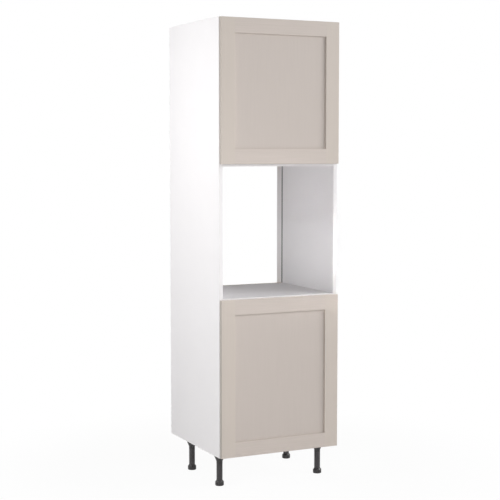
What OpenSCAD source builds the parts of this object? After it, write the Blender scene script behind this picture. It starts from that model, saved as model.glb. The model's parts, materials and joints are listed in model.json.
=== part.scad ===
// Tall oven housing: a floor-standing kitchen unit with a cupboard below and
// above an open bay for a single built-in oven, two frame-and-panel doors and
// four adjustable legs.
// +Z is up and the doors face -Y. The origin is on the floor, at the centre
// of the closed unit's footprint. Millimetres.

/* [Carcass] */
// Overall width of the unit
unit_w = 600; // [500:50:800]
// Height of the side panels
carcass_h = 1970; // [1900:10:2100]
// Depth of the side panels, front edge to wall
side_d = 570; // [540:10:600]
// Thickness of the sides, base, top and fixed shelves
board_t = 18; // [16:1:22]
// Space kept free between the back panels and the wall
service_void = 50; // [40:5:70]
// Thickness of the back panels
back_t = 8; // [6:1:10]
// Depth of the grooves that hold the back panels
groove_d = 6; // [4:0.5:8]
// Play between a back panel and each face of its groove
groove_play = 0.2; // [0.1:0.1:0.4]

/* [Oven bay] */
// Top of the oven shelf above the underside of the carcass
oven_shelf_h = 722; // [640:1:780]
// Clear height of the oven bay
oven_bay_h = 590; // [560:1:620]

/* [Loose shelves] */
// Depth of the loose shelves
loose_shelf_d = 480; // [420:10:490]
// Thickness of the loose shelves
loose_shelf_t = 18; // [16:1:22]
// Gap between a loose shelf's end and the side panel
loose_shelf_play = 1; // [0.5:0.5:2]
// Number of pin holes in each upright row
pin_row_count = 5; // [3:2:7]
// Pitch of the holes in a row
system_pitch = 32; // [25:1:40]
// Distance of the front row, and of the hinge plates, from the front edge
system_line = 37; // [34:1:45]
// Distance of the rear row from the rear edge of the shelves
rear_row_inset = 60; // [50:5:90]
// Diameter of the pin holes
pin_hole_dia = 5; // [4:0.5:6]
// Depth of the pin holes
pin_hole_depth = 11; // [9:1:12]

/* [Panel joints] */
// Diameter of a cam lock
cam_dia = 15; // [12:1:16]
// Depth of a cam bore
cam_depth = 12.5; // [11:0.5:13.5]
// Distance of a cam's centre from the end of its panel
cam_inset = 34; // [30:1:38]
// Diameter of the bore that takes a cam bolt
bolt_bore_dia = 8; // [7.5:0.5:9]
// Diameter of a cam bolt's shank
bolt_shank_dia = 6; // [5:0.5:6]
// Diameter of a cam bolt's head
bolt_head_dia = 7; // [6.5:0.5:7]
// Diameter of a cam bolt's thread in the side panel
bolt_thread_dia = 5; // [4:0.5:6]
// Length of a cam bolt's thread
bolt_thread_len = 11; // [9:1:12]
// Diameter of a wooden dowel
dowel_dia = 8; // [6:1:10]
// Length of a wooden dowel
dowel_len = 30; // [26:1:40]
// Depth of a dowel's hole in the side panel
dowel_side_depth = 12; // [9:1:13]
// Distance of the first and last joint from the shelves' edges
joint_inset = 60; // [50:5:90]

/* [Doors] */
// Thickness of a door frame
door_t = 18; // [18:1:22]
// Gap between a closed door and the carcass
door_gap = 2; // [2:0.5:3]
// Reveal between a door's edge and the outside of the unit
door_reveal = 2; // [1.5:0.5:3]
// Height of the oven shelf's front edge left free over the lower door
shelf_edge_show = 5; // [3:0.5:8]
// Height of the upper shelf's front edge left free under the upper door
ceiling_edge_show = 11; // [3:0.5:13]
// Width of the stiles
stile_w = 68; // [62:1:90]
// Width of the rails
rail_w = 68; // [50:1:90]
// Depth of the centre panel behind the frame's front
panel_recess = 8; // [6:0.5:8.5]
// Thickness of the centre panel
door_panel_t = 6; // [4:0.5:7]
// Depth of the groove that holds the centre panel
tongue_d = 9; // [6:1:12]
// Gap between the centre panel's edge and the groove's bottom
tongue_play = 0.5; // [0.3:0.1:1]
// Radius of a door's outer edges
door_round = 2; // [2:0.5:3]
// Diameter of a door bumper
bumper_dia = 8; // [6:1:12]
// Distance of a bumper from the top or bottom of the door
bumper_inset = 30; // [20:5:60]
// Gap between a bumper and the carcass
bumper_play = 0.3; // [0.2:0.1:0.5]

/* [Hinges] */
// Distance of each hinge from the end of its door
hinge_inset = 100; // [80:5:140]
// Diameter of the hinge cup
cup_dia = 35; // [35:0.5:36]
// Depth of the hinge cup
cup_depth = 12.6; // [12.4:0.1:13.4]
// Wall of the hinge cup
cup_wall = 0.9; // [0.7:0.1:1]
// Floor of the hinge cup
cup_floor = 1; // [0.8:0.1:1]
// Distance of the cup's centre from the door's edge
cup_edge = 20.5; // [20:0.5:21]
// Play between the cup and its bore in the stile
cup_play = 0.1; // [0.05:0.05:0.3]
// Width of the cup's screw wings
wing_w = 12; // [10:1:14]
// Length of the cup's screw wings, tip to tip
wing_len = 62; // [58:1:66]
// Thickness of the wings
wing_t = 1; // [0.6:0.1:1.1]
// Distance between the two wing screws
wing_screw_span = 48; // [44:1:50]
// Distance of the wing screws behind the cup's centre
wing_screw_back = 6; // [4:0.5:8]
// Diameter of the hinge pin
pin_dia = 2.5; // [2:0.1:2.6]
// Running clearance of the arm's eye on the pin
pin_play = 0.05; // [0.02:0.01:0.08]
// Distance of the pin from the door's edge
pin_edge = 7; // [6.6:0.1:7]
// Depth of the pin below the door's back face
pin_depth = 9; // [8.8:0.1:9.2]
// Distance from the pin to the outside of the arm
arm_reach = 27; // [26:0.5:27.5]
// Thickness of the arm's steel
arm_t = 2; // [1.5:0.1:2]
// Width of the arm where it enters the cup
neck_w = 8; // [7:0.5:8]
// Width of the arm's channel
arm_w = 14; // [12:0.5:16]
// Thickness of the channel's cheeks
cheek_t = 1.5; // [1:0.1:2]
// Depth of the channel's cheeks
cheek_d = 10; // [8:0.5:11]
// Start of the channel behind the carcass front
channel_start = 12; // [10:1:16]
// End of the channel behind the carcass front
channel_end = 62; // [58:1:70]
// Thickness of the mounting plate
plate_t = 2; // [1.5:0.5:3]
// Distance between the two plate screws
plate_screw_span = 32; // [28:1:36]
// Diameter of the plate screws' holes in the side panel
plate_screw_dia = 5; // [4:0.5:6]
// Distance between the adjusting screw and the clamp screw
arm_screw_span = 22; // [18:1:24]
// Diameter of the arm's two screws
arm_screw_dia = 4; // [3:0.5:4]

/* [Legs] */
// Height of the carcass above the floor
leg_h = 150; // [130:5:170]
// Distance of a leg's centre from the outside of the unit
leg_side_inset = 44; // [42:1:60]
// Distance of the front legs from the carcass front
leg_front_inset = 97; // [80:1:120]
// Distance of the rear legs from the rear edge of the sides
leg_rear_inset = 154; // [120:1:170]
// Diameter of the leg's column
column_dia = 28; // [26:1:30]
// Diameter of the column's spigot inside the socket
spigot_dia = 25; // [22:0.5:25]
// Length of the spigot
spigot_len = 20; // [16:1:24]
// Diameter of the socket's collar
collar_dia = 31; // [31:0.5:34]
// Length of the socket's collar below the flare
collar_len = 14; // [10:1:16]
// Height of the flare between collar and flange
flare_h = 8; // [6:1:10]
// Diameter of the flare where it meets the flange
flare_dia = 42; // [38:1:44]
// Diameter of the socket's flange
flange_dia = 60; // [58:1:66]
// Thickness of the socket's flange
flange_t = 4; // [3:0.5:5]
// Diameter of the foot
foot_dia = 40; // [38:1:46]
// Height of the foot
foot_h = 24; // [20:1:28]
// Number of grip flutes round the foot
flute_count = 12; // [8:1:16]
// Diameter of the foot's threaded stem
stem_dia = 20; // [16:0.5:20]
// Length of the foot's threaded stem
stem_len = 60; // [50:1:70]
// Running clearance of the stem in the column
stem_play = 0.05; // [0.02:0.01:0.08]

/* [Screws] */
// Diameter of the small chipboard screws
screw_dia = 3.5; // [3:0.5:4]
// Diameter of their heads
screw_head_dia = 6.8; // [6:0.2:7]
// Height of their heads
screw_head_h = 1.8; // [1.4:0.2:2.2]
// Play round a screw or dowel in its hole
hole_play = 0.1; // [0.05:0.05:0.15]

/* [Wall brackets] */
// Length of each leg of the bracket
bracket_leg = 30; // [26:1:34]
// Height of the bracket
bracket_h = 40; // [34:1:50]
// Thickness of the bracket
bracket_t = 2; // [1.5:0.5:3]
// Distance of the brackets below the top of the sides
bracket_drop = 30; // [20:5:60]
// Diameter of the hole for the wall screw
wall_hole_dia = 6.5; // [5:0.5:7]

/* [Hidden] */

$fn = 48;
// A cut is carried this far past the face it opens.
cut = 1;

white = "#F1EFF0";
stone = "#CFC4BB";
charcoal = "#4A474A";
zinc = "#B9BBBE";
beech = "#D9B98A";
clear_white = "#E8E8E6";

// Places that follow from the driving dimensions. Carcass coordinates: the
// front edges are at Y = 0 and the underside at Z = 0.
front_y = (door_t + door_gap - side_d) / 2;
inner_x = unit_w / 2 - board_t;
shelf_d = side_d - service_void - back_t - 2 * groove_play;
groove_w = back_t + 2 * groove_play;
bay_floor = oven_shelf_h;
bay_ceiling = oven_shelf_h + oven_bay_h;

// Undersides of the four fixed horizontal panels, and the side (+1 above,
// -1 below) on which each one's cams are let in.
base_z = 0;
oven_shelf_z = bay_floor - board_t;
bay_top_z = bay_ceiling;
top_z = carcass_h - board_t;
fixed_panels = [[base_z, -1], [oven_shelf_z, -1], [bay_top_z, 1], [top_z, 1]];

// Joints along the depth of a fixed panel: a cam near each edge, with a dowel
// one pitch further in.
cam_ys = [joint_inset, shelf_d - joint_inset];
dowel_ys = [joint_inset + system_pitch, shelf_d - joint_inset - system_pitch];
// A cam's face lies this far inside its bore's mouth.
cam_recess = 0.3;
cam_slot_w = 1.2;
cam_slot_d = 3;
cam_hollow_play = 0.3;
// A bolt's head passes the cam's centre by this much.
bolt_overrun = 1;
bolt_head_len = 3;
// Free length at each end of a dowel, and where a dowel starts.
dowel_end_play = 1;
dowel_x = inner_x + dowel_side_depth - dowel_end_play - dowel_len;
// Width of the cross in a screw's head.
drive_w = 0.8;
// A screw's head stands out past its shank by this much all round.
head_over = 1.9;
// Free depth past the end of a peg, bolt or screw in its hole.
hole_room = 1;

// Rows of pin holes, centred on the height of each cupboard.
row_ys = [system_line, shelf_d - rear_row_inset];
lower_row_z = (board_t + oven_shelf_z) / 2;
upper_row_z = (bay_top_z + board_t + top_z) / 2;
row_steps = [-(pin_row_count - 1) / 2 : (pin_row_count - 1) / 2];

// A shelf pin's spade carries the shelf this far above the pin's axis.
spade_rise = pin_hole_dia / 2 + 1;
spade_drop = spade_rise - 0.5;
spade_w = pin_hole_dia + 3;
spade_reach = 9;

// Doors: underside and height.
door_w = unit_w - 2 * door_reveal;
door_back_y = -door_gap;
door_front_y = -door_gap - door_t;
lower_door_z = door_reveal;
lower_door_h = bay_floor - shelf_edge_show - lower_door_z;
upper_door_z = bay_ceiling + ceiling_edge_show;
upper_door_h = carcass_h - door_reveal - upper_door_z;
panel_front_y = door_front_y + panel_recess;

// Hinges: cup and pin in plan.
door_edge_x = door_w / 2;
cup_x = door_edge_x - cup_edge;
pin_x = door_edge_x - pin_edge;
pin_y = door_back_y - pin_depth;
pin_from_cup = cup_edge - pin_edge;
arm_x = pin_x - arm_reach;
strap_x = arm_x + arm_t;
eye_wall = 0.95;
eye_dia = pin_dia + 2 * eye_wall;
eye_gap = 0.4;
knuckle_w = 4.6;
knuckle_round = 2.6;
// The pin reaches this far into each knuckle.
pin_grip = 3.8;
pin_len = neck_w + 2 * (eye_gap + pin_grip);
cup_screw_head_h = 1;

// Hinges: the mounting plate and the block under the arm.
plate_wing_w = 16;
plate_margin = 7;
block_margin = 5;
block_play = 0.3;
block_w = arm_w - 2 * (cheek_t + block_play);
adjust_y = system_line - 10;
clamp_y = adjust_y + arm_screw_span;
lower_hinge_zs = [lower_door_z + hinge_inset, lower_door_z + lower_door_h - hinge_inset];
upper_hinge_zs = [upper_door_z + hinge_inset, upper_door_z + upper_door_h - hinge_inset];
pilot_depth = 9;

// Legs in plan.
leg_x = unit_w / 2 - leg_side_inset;
leg_rear_y = side_d - leg_rear_inset;
front_left_leg = [-leg_x, leg_front_inset];
front_right_leg = [leg_x, leg_front_inset];
rear_left_leg = [-leg_x, leg_rear_y];
rear_right_leg = [leg_x, leg_rear_y];
leg_places = [front_left_leg, front_right_leg, rear_left_leg, rear_right_leg];
socket_screw_r = (flare_dia + flange_dia) / 4;
socket_drop = flange_t + flare_h + collar_len;
// Free length above a foot's stem in its column.
stem_room = 5;
foot_chamfer = 1.5;
foot_shoulder = 6;
shoulder_dia = column_dia + 3;
flute_dia = 5;

// Wall brackets.
bracket_z = carcass_h - bracket_drop - bracket_h;
wall_hole_x = inner_x - bracket_leg / 2 - bracket_t;

// ---- helpers ----

// Carcass coordinates to the unit's own frame.
module in_carcass() {
    translate([0, front_y, leg_h]) children();
}

// The same thing on the left and on the right.
module both_sides() {
    children();
    mirror([1, 0, 0]) children();
}

// A cylinder along +X that starts at the origin.
module rod_x(dia, len) {
    rotate([0, 90, 0]) cylinder(d = dia, h = len);
}

// A cylinder along -Y that starts at the origin.
module rod_forward(dia, len) {
    rotate([90, 0, 0]) cylinder(d = dia, h = len);
}

// A bar along +Z with its four long edges rounded.
module rounded_bar(size_x, size_y, len, r) {
    linear_extrude(len) {
        translate([r, 0]) square([size_x - 2 * r, size_y]);
        translate([0, r]) square([size_x, size_y - 2 * r]);
        for (x = [r, size_x - r], y = [r, size_y - r]) translate([x, y]) circle(r);
    }
}

// A driver's cross, cut half of depth into the face at Z = 0.
module cross_slot(span, w, depth) {
    for (a = [0, 90]) rotate([0, 0, a]) cube([span, w, depth], center = true);
}

// A pan-head screw along -Z: the head stands on Z = 0 and the shank goes down.
module pan_screw(dia, head_dia, head_h, len) {
    difference() {
        cylinder(d = head_dia, h = head_h);
        translate([0, 0, head_h]) cross_slot(head_dia * 0.5, drive_w, head_h);
    }
    translate([0, 0, -len]) cylinder(d = dia, h = len);
}

// ---- carcass ----

// Holes that both side panels have, cut into the right one's inner face.
module side_joint_holes() {
    for (p = fixed_panels) translate([inner_x - cut, 0, p[0] + board_t / 2]) {
        for (y = cam_ys) translate([0, y, 0])
            rod_x(bolt_thread_dia + 2 * hole_play, bolt_thread_len + cut + hole_room);
        for (y = dowel_ys) translate([0, y, 0])
            rod_x(dowel_dia + 2 * hole_play, dowel_side_depth + cut);
    }
}

module side_pin_holes() {
    for (z = [lower_row_z, upper_row_z], k = row_steps, y = row_ys)
        translate([inner_x - cut, y, z + k * system_pitch])
            rod_x(pin_hole_dia, pin_hole_depth + cut);
}

module bracket_screw_places() {
    for (z = [bracket_z + bracket_h / 4, bracket_z + bracket_h * 3 / 4])
        translate([inner_x, side_d - bracket_leg / 2, z]) children();
}

module side_board() {
    difference() {
        translate([inner_x, 0, 0]) cube([board_t, side_d, carcass_h]);
        translate([inner_x - cut, shelf_d, -cut]) cube([groove_d + cut, groove_w, carcass_h + 2 * cut]);
        side_joint_holes();
        side_pin_holes();
        bracket_screw_places() translate([-cut, 0, 0])
            rod_x(screw_dia + 2 * hole_play, pilot_depth + cut + hole_room);
    }
}

module left_side() {
    color(white) in_carcass() mirror([1, 0, 0]) side_board();
}

module right_side() {
    color(white) in_carcass() difference() {
        side_board();
        for (z = concat(lower_hinge_zs, upper_hinge_zs), k = [-1, 1])
            translate([inner_x - cut, system_line, z + k * plate_screw_span / 2])
                rod_x(plate_screw_dia + 2 * hole_play, pin_hole_depth + cut + hole_room);
    }
}

// A fixed panel between the sides, with its cams let in from above or below.
module fixed_panel(z, cam_side) {
    difference() {
        translate([-inner_x, 0, z]) cube([2 * inner_x, shelf_d, board_t]);
        both_sides() {
            for (y = cam_ys) {
                cam_z = cam_side > 0 ? z + board_t - cam_depth : z - cut;
                translate([inner_x - cam_inset, y, cam_z])
                    cylinder(d = cam_dia + 2 * hole_play, h = cam_depth + cut);
                translate([inner_x - cam_inset, y, z + board_t / 2])
                    rod_x(bolt_bore_dia, cam_inset + cut);
            }
            for (y = dowel_ys) translate([dowel_x - dowel_end_play, y, z + board_t / 2])
                rod_x(dowel_dia + 2 * hole_play, dowel_len);
        }
    }
}

module base_panel() {
    color(white) in_carcass() difference() {
        fixed_panel(fixed_panels[0][0], fixed_panels[0][1]);
        for (p = leg_places) translate([p[0], p[1], -cut]) socket_screw_places()
            cylinder(d = screw_dia + 2 * hole_play, h = pilot_depth + cut + hole_room);
    }
}

module oven_shelf() {
    color(white) in_carcass() fixed_panel(fixed_panels[1][0], fixed_panels[1][1]);
}

module bay_top_shelf() {
    color(white) in_carcass() fixed_panel(fixed_panels[2][0], fixed_panels[2][1]);
}

module top_panel() {
    color(white) in_carcass() fixed_panel(fixed_panels[3][0], fixed_panels[3][1]);
}

// A back panel slides in the sides' grooves, behind the fixed panels.
module back_panel(z, h) {
    half_w = inner_x + groove_d - groove_play;
    translate([-half_w, shelf_d + groove_play, z]) cube([2 * half_w, back_t, h]);
}

module lower_back_panel() {
    color(white) in_carcass() back_panel(base_z, bay_floor - base_z);
}

module upper_back_panel() {
    color(white) in_carcass() back_panel(bay_top_z, carcass_h - bay_top_z);
}

// ---- loose shelves ----

module loose_shelf(row_z) {
    half_w = inner_x - loose_shelf_play;
    translate([-half_w, shelf_d - loose_shelf_d - loose_shelf_play, row_z + spade_rise])
        cube([2 * half_w, loose_shelf_d, loose_shelf_t]);
}

module lower_loose_shelf() {
    color(white) in_carcass() loose_shelf(lower_row_z);
}

module upper_loose_shelf() {
    color(white) in_carcass() loose_shelf(upper_row_z);
}

// Four spade pins: a round peg in the side's hole and a flat spade under the shelf.
module shelf_pins(row_z) {
    both_sides() for (y = row_ys) translate([inner_x, y, row_z]) {
        rod_x(pin_hole_dia - 2 * hole_play, pin_hole_depth - hole_room);
        translate([-spade_reach, -spade_w / 2, -spade_drop])
            cube([spade_reach, spade_w, spade_rise + spade_drop]);
    }
}

module lower_shelf_pins() {
    color(zinc) in_carcass() shelf_pins(lower_row_z);
}

module upper_shelf_pins() {
    color(zinc) in_carcass() shelf_pins(upper_row_z);
}

// ---- panel joints ----

// A cam stands on the bottom of its bore, its slot outwards; the bolt's head
// reaches into its hollow from the panel's end.
module cam_lock(cam_side) {
    bolt_z = cam_side > 0 ? cam_depth - board_t / 2 : board_t / 2;
    low_z = cam_side > 0 ? 0 : cam_recess;
    cam_h = cam_depth - cam_recess;
    difference() {
        translate([0, 0, low_z]) cylinder(d = cam_dia, h = cam_h);
        translate([-2 * bolt_overrun, 0, bolt_z]) rod_x(bolt_head_dia + 2 * cam_hollow_play, cam_dia);
        translate([0, 0, cam_side > 0 ? cam_h : low_z]) cross_slot(cam_dia * 0.6, cam_slot_w, cam_slot_d);
    }
}

module cam_locks() {
    color(zinc) in_carcass() both_sides() for (p = fixed_panels, y = cam_ys)
        translate([inner_x - cam_inset, y, p[1] > 0 ? p[0] + board_t - cam_depth : p[0]]) cam_lock(p[1]);
}

// A cam bolt: head inside the cam, shank in the panel's bore, thread in the side.
module cam_bolt() {
    translate([-cam_inset - bolt_overrun, 0, 0]) {
        rod_x(bolt_head_dia, bolt_head_len);
        rod_x(bolt_shank_dia, cam_inset + bolt_overrun);
    }
    rod_x(bolt_thread_dia, bolt_thread_len);
}

module cam_bolts() {
    color(zinc) in_carcass() both_sides() for (p = fixed_panels, y = cam_ys)
        translate([inner_x, y, p[0] + board_t / 2]) cam_bolt();
}

module dowels() {
    color(beech) in_carcass() both_sides() for (p = fixed_panels, y = dowel_ys)
        translate([dowel_x, y, p[0] + board_t / 2]) rod_x(dowel_dia, dowel_len);
}

// ---- wall brackets ----

module wall_brackets() {
    color(zinc) in_carcass() both_sides() difference() {
        union() {
            translate([inner_x - bracket_t, side_d - bracket_leg, bracket_z])
                cube([bracket_t, bracket_leg, bracket_h]);
            translate([inner_x - bracket_leg, side_d - bracket_t, bracket_z])
                cube([bracket_leg, bracket_t, bracket_h]);
        }
        translate([wall_hole_x, side_d + cut, bracket_z + bracket_h / 2])
            rod_forward(wall_hole_dia, bracket_t + 2 * cut);
        bracket_screw_places() translate([-bracket_t - cut, 0, 0])
            rod_x(screw_dia + 2 * hole_play, bracket_t + 2 * cut);
    }
}

module wall_bracket_screws() {
    color(zinc) in_carcass() both_sides() bracket_screw_places()
        translate([-bracket_t, 0, 0]) rotate([0, -90, 0])
            pan_screw(screw_dia, screw_head_dia, screw_head_h, bracket_t + pilot_depth);
}

// ---- legs ----

// Four screws hold each socket, clear of the side panel's edge.
module socket_screw_places() {
    for (a = [0, 90, 180, 270]) rotate([0, 0, a + 45]) translate([socket_screw_r, 0, 0]) children();
}

// Flange, flare and collar in one moulding, open below for the column's spigot.
module leg_socket(place) {
    color(charcoal) in_carcass() translate([place[0], place[1], 0]) difference() {
        union() {
            translate([0, 0, -flange_t]) cylinder(d = flange_dia, h = flange_t);
            translate([0, 0, -flange_t - flare_h]) cylinder(d1 = collar_dia, d2 = flare_dia, h = flare_h);
            translate([0, 0, -socket_drop]) cylinder(d = collar_dia, h = collar_len);
        }
        translate([0, 0, -socket_drop - cut])
            cylinder(d = spigot_dia + 2 * hole_play, h = spigot_len + cut + hole_room);
        translate([0, 0, -flange_t - cut]) socket_screw_places()
            cylinder(d = screw_dia + 2 * hole_play, h = flange_t + 2 * cut);
    }
}

// A hollow column whose spigot plugs into the socket and whose bore takes the
// foot's stem.
module leg_column(place) {
    column_top = -socket_drop;
    column_len = leg_h - socket_drop - foot_h;
    color(charcoal) in_carcass() translate([place[0], place[1], 0]) difference() {
        union() {
            translate([0, 0, column_top - column_len]) cylinder(d = column_dia, h = column_len);
            translate([0, 0, column_top]) cylinder(d = spigot_dia, h = spigot_len);
        }
        translate([0, 0, column_top - column_len - cut])
            cylinder(d = stem_dia, h = stem_len + stem_room + cut);
    }
}

// A fluted foot on a stem that screws into the column.
module leg_foot(place) {
    color(charcoal) in_carcass() translate([place[0], place[1], -leg_h]) {
        difference() {
            union() {
                cylinder(d1 = foot_dia - 2 * foot_chamfer, d2 = foot_dia, h = foot_chamfer);
                translate([0, 0, foot_chamfer])
                    cylinder(d = foot_dia, h = foot_h - foot_chamfer - foot_shoulder);
                translate([0, 0, foot_h - foot_shoulder])
                    cylinder(d1 = foot_dia, d2 = shoulder_dia, h = foot_shoulder);
            }
            for (i = [0 : flute_count - 1]) rotate([0, 0, (i + 0.5) * 360 / flute_count])
                translate([foot_dia / 2 + flute_dia / 3, 0, 2 * foot_chamfer])
                    cylinder(d = flute_dia, h = foot_h);
        }
        translate([0, 0, foot_h]) cylinder(d = stem_dia - 2 * stem_play, h = stem_len);
    }
}

module socket_screws() {
    color(zinc) in_carcass() for (p = leg_places) translate([p[0], p[1], -flange_t]) socket_screw_places()
        rotate([180, 0, 0]) pan_screw(screw_dia, screw_head_dia, screw_head_h, flange_t + pilot_depth);
}

// ---- doors ----

// A whole door's outline as one block with rounded edges; the frame's pieces
// are cut out of it.
module door_blank(z, h) {
    intersection() {
        translate([-door_w / 2, door_front_y, z]) rounded_bar(door_w, door_t, h, door_round);
        translate([-door_w / 2, door_front_y, z + h]) rotate([0, 90, 0])
            rounded_bar(h, door_t, door_w, door_round);
    }
}

// The groove for the centre panel, all round the frame's inner edge.
module panel_groove(z, h) {
    translate([-door_w / 2 + stile_w - tongue_d, panel_front_y, z + rail_w - tongue_d])
        cube([door_w - 2 * stile_w + 2 * tongue_d, door_panel_t, h - 2 * rail_w + 2 * tongue_d]);
}

// Blind slots in the stiles for the rails' tenons.
module tenons(z, h) {
    for (zr = [z + rail_w / 6, z + h - rail_w * 5 / 6])
        translate([-door_w / 2 + stile_w - tongue_d, panel_front_y, zr])
            cube([door_w - 2 * stile_w + 2 * tongue_d, door_panel_t, rail_w * 2 / 3]);
}

// Holes for the hinge cups and their wing screws, in the right stile.
module cup_holes(hinge_zs) {
    for (z = hinge_zs) translate([cup_x, door_back_y, z]) {
        translate([0, cut, 0]) rod_forward(cup_dia + 2 * cup_play, cup_depth + cup_play + cut);
        for (k = [-1, 1]) translate([-wing_screw_back, cut, k * wing_screw_span / 2])
            rod_forward(screw_dia + 2 * hole_play, pilot_depth + cut + hole_room);
    }
}

module door_stile(z, h, side) {
    stile_x = side > 0 ? door_w / 2 - stile_w : -door_w / 2;
    difference() {
        intersection() {
            door_blank(z, h);
            translate([stile_x, door_front_y - cut, z - cut]) cube([stile_w, door_t + 2 * cut, h + 2 * cut]);
        }
        panel_groove(z, h);
        tenons(z, h);
    }
}

// A rail between the stiles, with a tenon at each end; end is +1 at the top.
module door_rail(z, h, end) {
    rail_z = end > 0 ? z + h - rail_w : z;
    difference() {
        union() {
            intersection() {
                door_blank(z, h);
                translate([-door_w / 2 + stile_w, door_front_y - cut, end > 0 ? rail_z : rail_z - cut])
                    cube([door_w - 2 * stile_w, door_t + 2 * cut, rail_w + cut]);
            }
            intersection() {
                tenons(z, h);
                translate([-door_w / 2 + stile_w - tongue_d + tongue_play, door_front_y, rail_z])
                    cube([door_w - 2 * (stile_w - tongue_d + tongue_play), door_t, rail_w]);
            }
        }
        panel_groove(z, h);
    }
}

module door_panel(z, h) {
    inset_x = stile_w - tongue_d + tongue_play;
    inset_z = rail_w - tongue_d + tongue_play;
    translate([-door_w / 2 + inset_x, panel_front_y, z + inset_z])
        cube([door_w - 2 * inset_x, door_panel_t, h - 2 * inset_z]);
}

// Two bumpers on the back of the door, opposite the hinges.
module door_bumpers(z, h) {
    for (zb = [z + bumper_inset, z + h - bumper_inset])
        translate([-unit_w / 2 + board_t / 2 + door_reveal, -bumper_play, zb])
            rod_forward(bumper_dia, door_gap - bumper_play);
}

module lower_door_left_stile() {
    color(stone) in_carcass() door_stile(lower_door_z, lower_door_h, -1);
}

module lower_door_right_stile() {
    color(stone) in_carcass() difference() {
        door_stile(lower_door_z, lower_door_h, 1);
        cup_holes(lower_hinge_zs);
    }
}

module lower_door_top_rail() {
    color(stone) in_carcass() door_rail(lower_door_z, lower_door_h, 1);
}

module lower_door_bottom_rail() {
    color(stone) in_carcass() door_rail(lower_door_z, lower_door_h, -1);
}

module lower_door_panel() {
    color(stone) in_carcass() door_panel(lower_door_z, lower_door_h);
}

module lower_door_bumpers() {
    color(clear_white) in_carcass() door_bumpers(lower_door_z, lower_door_h);
}

module upper_door_left_stile() {
    color(stone) in_carcass() door_stile(upper_door_z, upper_door_h, -1);
}

module upper_door_right_stile() {
    color(stone) in_carcass() difference() {
        door_stile(upper_door_z, upper_door_h, 1);
        cup_holes(upper_hinge_zs);
    }
}

module upper_door_top_rail() {
    color(stone) in_carcass() door_rail(upper_door_z, upper_door_h, 1);
}

module upper_door_bottom_rail() {
    color(stone) in_carcass() door_rail(upper_door_z, upper_door_h, -1);
}

module upper_door_panel() {
    color(stone) in_carcass() door_panel(upper_door_z, upper_door_h);
}

module upper_door_bumpers() {
    color(clear_white) in_carcass() door_bumpers(upper_door_z, upper_door_h);
}

// ---- hinges ----

// A cup let into the door, with two screw wings and two knuckles that hold the
// pin. Local +Z goes into the door and local +Y is up.
module hinge_cup() {
    bowl_r = cup_dia / 2 - cup_wall;
    bowl_depth = cup_depth - cup_floor;
    rotate([90, 0, 0]) difference() {
        union() {
            difference() {
                union() {
                    cylinder(d = cup_dia, h = cup_depth);
                    translate([-wing_screw_back - wing_w / 2, -wing_len / 2, -wing_t])
                        cube([wing_w, wing_len, wing_t]);
                }
                translate([0, 0, -wing_t - cut]) cylinder(r = bowl_r, h = bowl_depth + wing_t + cut);
            }
            intersection() {
                cylinder(d = cup_dia, h = cup_depth);
                for (k = [-1, 1]) translate([pin_from_cup - knuckle_round,
                        k * (neck_w / 2 + eye_gap + knuckle_w / 2) - knuckle_w / 2, pin_depth - knuckle_round])
                    cube([cup_dia / 2, knuckle_w, cup_depth - pin_depth + knuckle_round]);
            }
        }
        translate([pin_from_cup, pin_len / 2 + hole_play, pin_depth]) rotate([90, 0, 0])
            cylinder(d = pin_dia + pin_play, h = pin_len + 2 * hole_play);
        for (k = [-1, 1]) translate([-wing_screw_back, k * wing_screw_span / 2, -wing_t - cut])
            cylinder(d = screw_dia + 2 * hole_play, h = wing_t + 2 * cut);
    }
}

module hinge_cups(hinge_zs) {
    for (z = hinge_zs) translate([cup_x, door_back_y, z]) hinge_cup();
}

module hinge_pins(hinge_zs) {
    for (z = hinge_zs) translate([pin_x, pin_y, z - pin_len / 2]) cylinder(d = pin_dia, h = pin_len);
}

module cup_screws(hinge_zs) {
    for (z = hinge_zs, k = [-1, 1])
        translate([cup_x - wing_screw_back, door_back_y + wing_t, z + k * wing_screw_span / 2])
            rotate([-90, 0, 0]) pan_screw(screw_dia, screw_head_dia, cup_screw_head_h, wing_t + pilot_depth);
}

// The goose-neck arm in plan: an eye on the pin, a neck along the cup's floor
// and a strap back to the mounting plate. The origin is the pin's axis.
module arm_neck_outline() {
    bend_out = 2 * arm_t;
    neck_low = -0.6 * arm_t;
    circle(d = eye_dia);
    translate([-arm_reach + bend_out, neck_low]) square([arm_reach - bend_out, arm_t]);
    translate([-arm_reach + bend_out, neck_low + bend_out]) intersection() {
        difference() {
            circle(bend_out);
            circle(bend_out - arm_t);
        }
        translate([-bend_out, -bend_out]) square(bend_out);
    }
    translate([-arm_reach, neck_low + bend_out]) square([arm_t, channel_start - pin_y - neck_low - bend_out]);
}

module hinge_arm() {
    difference() {
        union() {
            translate([pin_x, pin_y, -neck_w / 2]) linear_extrude(neck_w) arm_neck_outline();
            translate([arm_x, channel_start, -arm_w / 2]) cube([arm_t, channel_end - channel_start, arm_w]);
            for (z = [-arm_w / 2, arm_w / 2 - cheek_t]) translate([arm_x, channel_start, z])
                cube([arm_t + cheek_d, channel_end - channel_start, cheek_t]);
        }
        translate([pin_x, pin_y, -neck_w]) cylinder(d = pin_dia + 2 * pin_play, h = 2 * neck_w);
        for (y = [adjust_y, clamp_y]) translate([arm_x - cut, y, 0])
            rod_x(arm_screw_dia + 4 * hole_play, arm_t + 2 * cut);
    }
}

module hinge_arms(hinge_zs) {
    for (z = hinge_zs) translate([0, 0, z]) hinge_arm();
}

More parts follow.
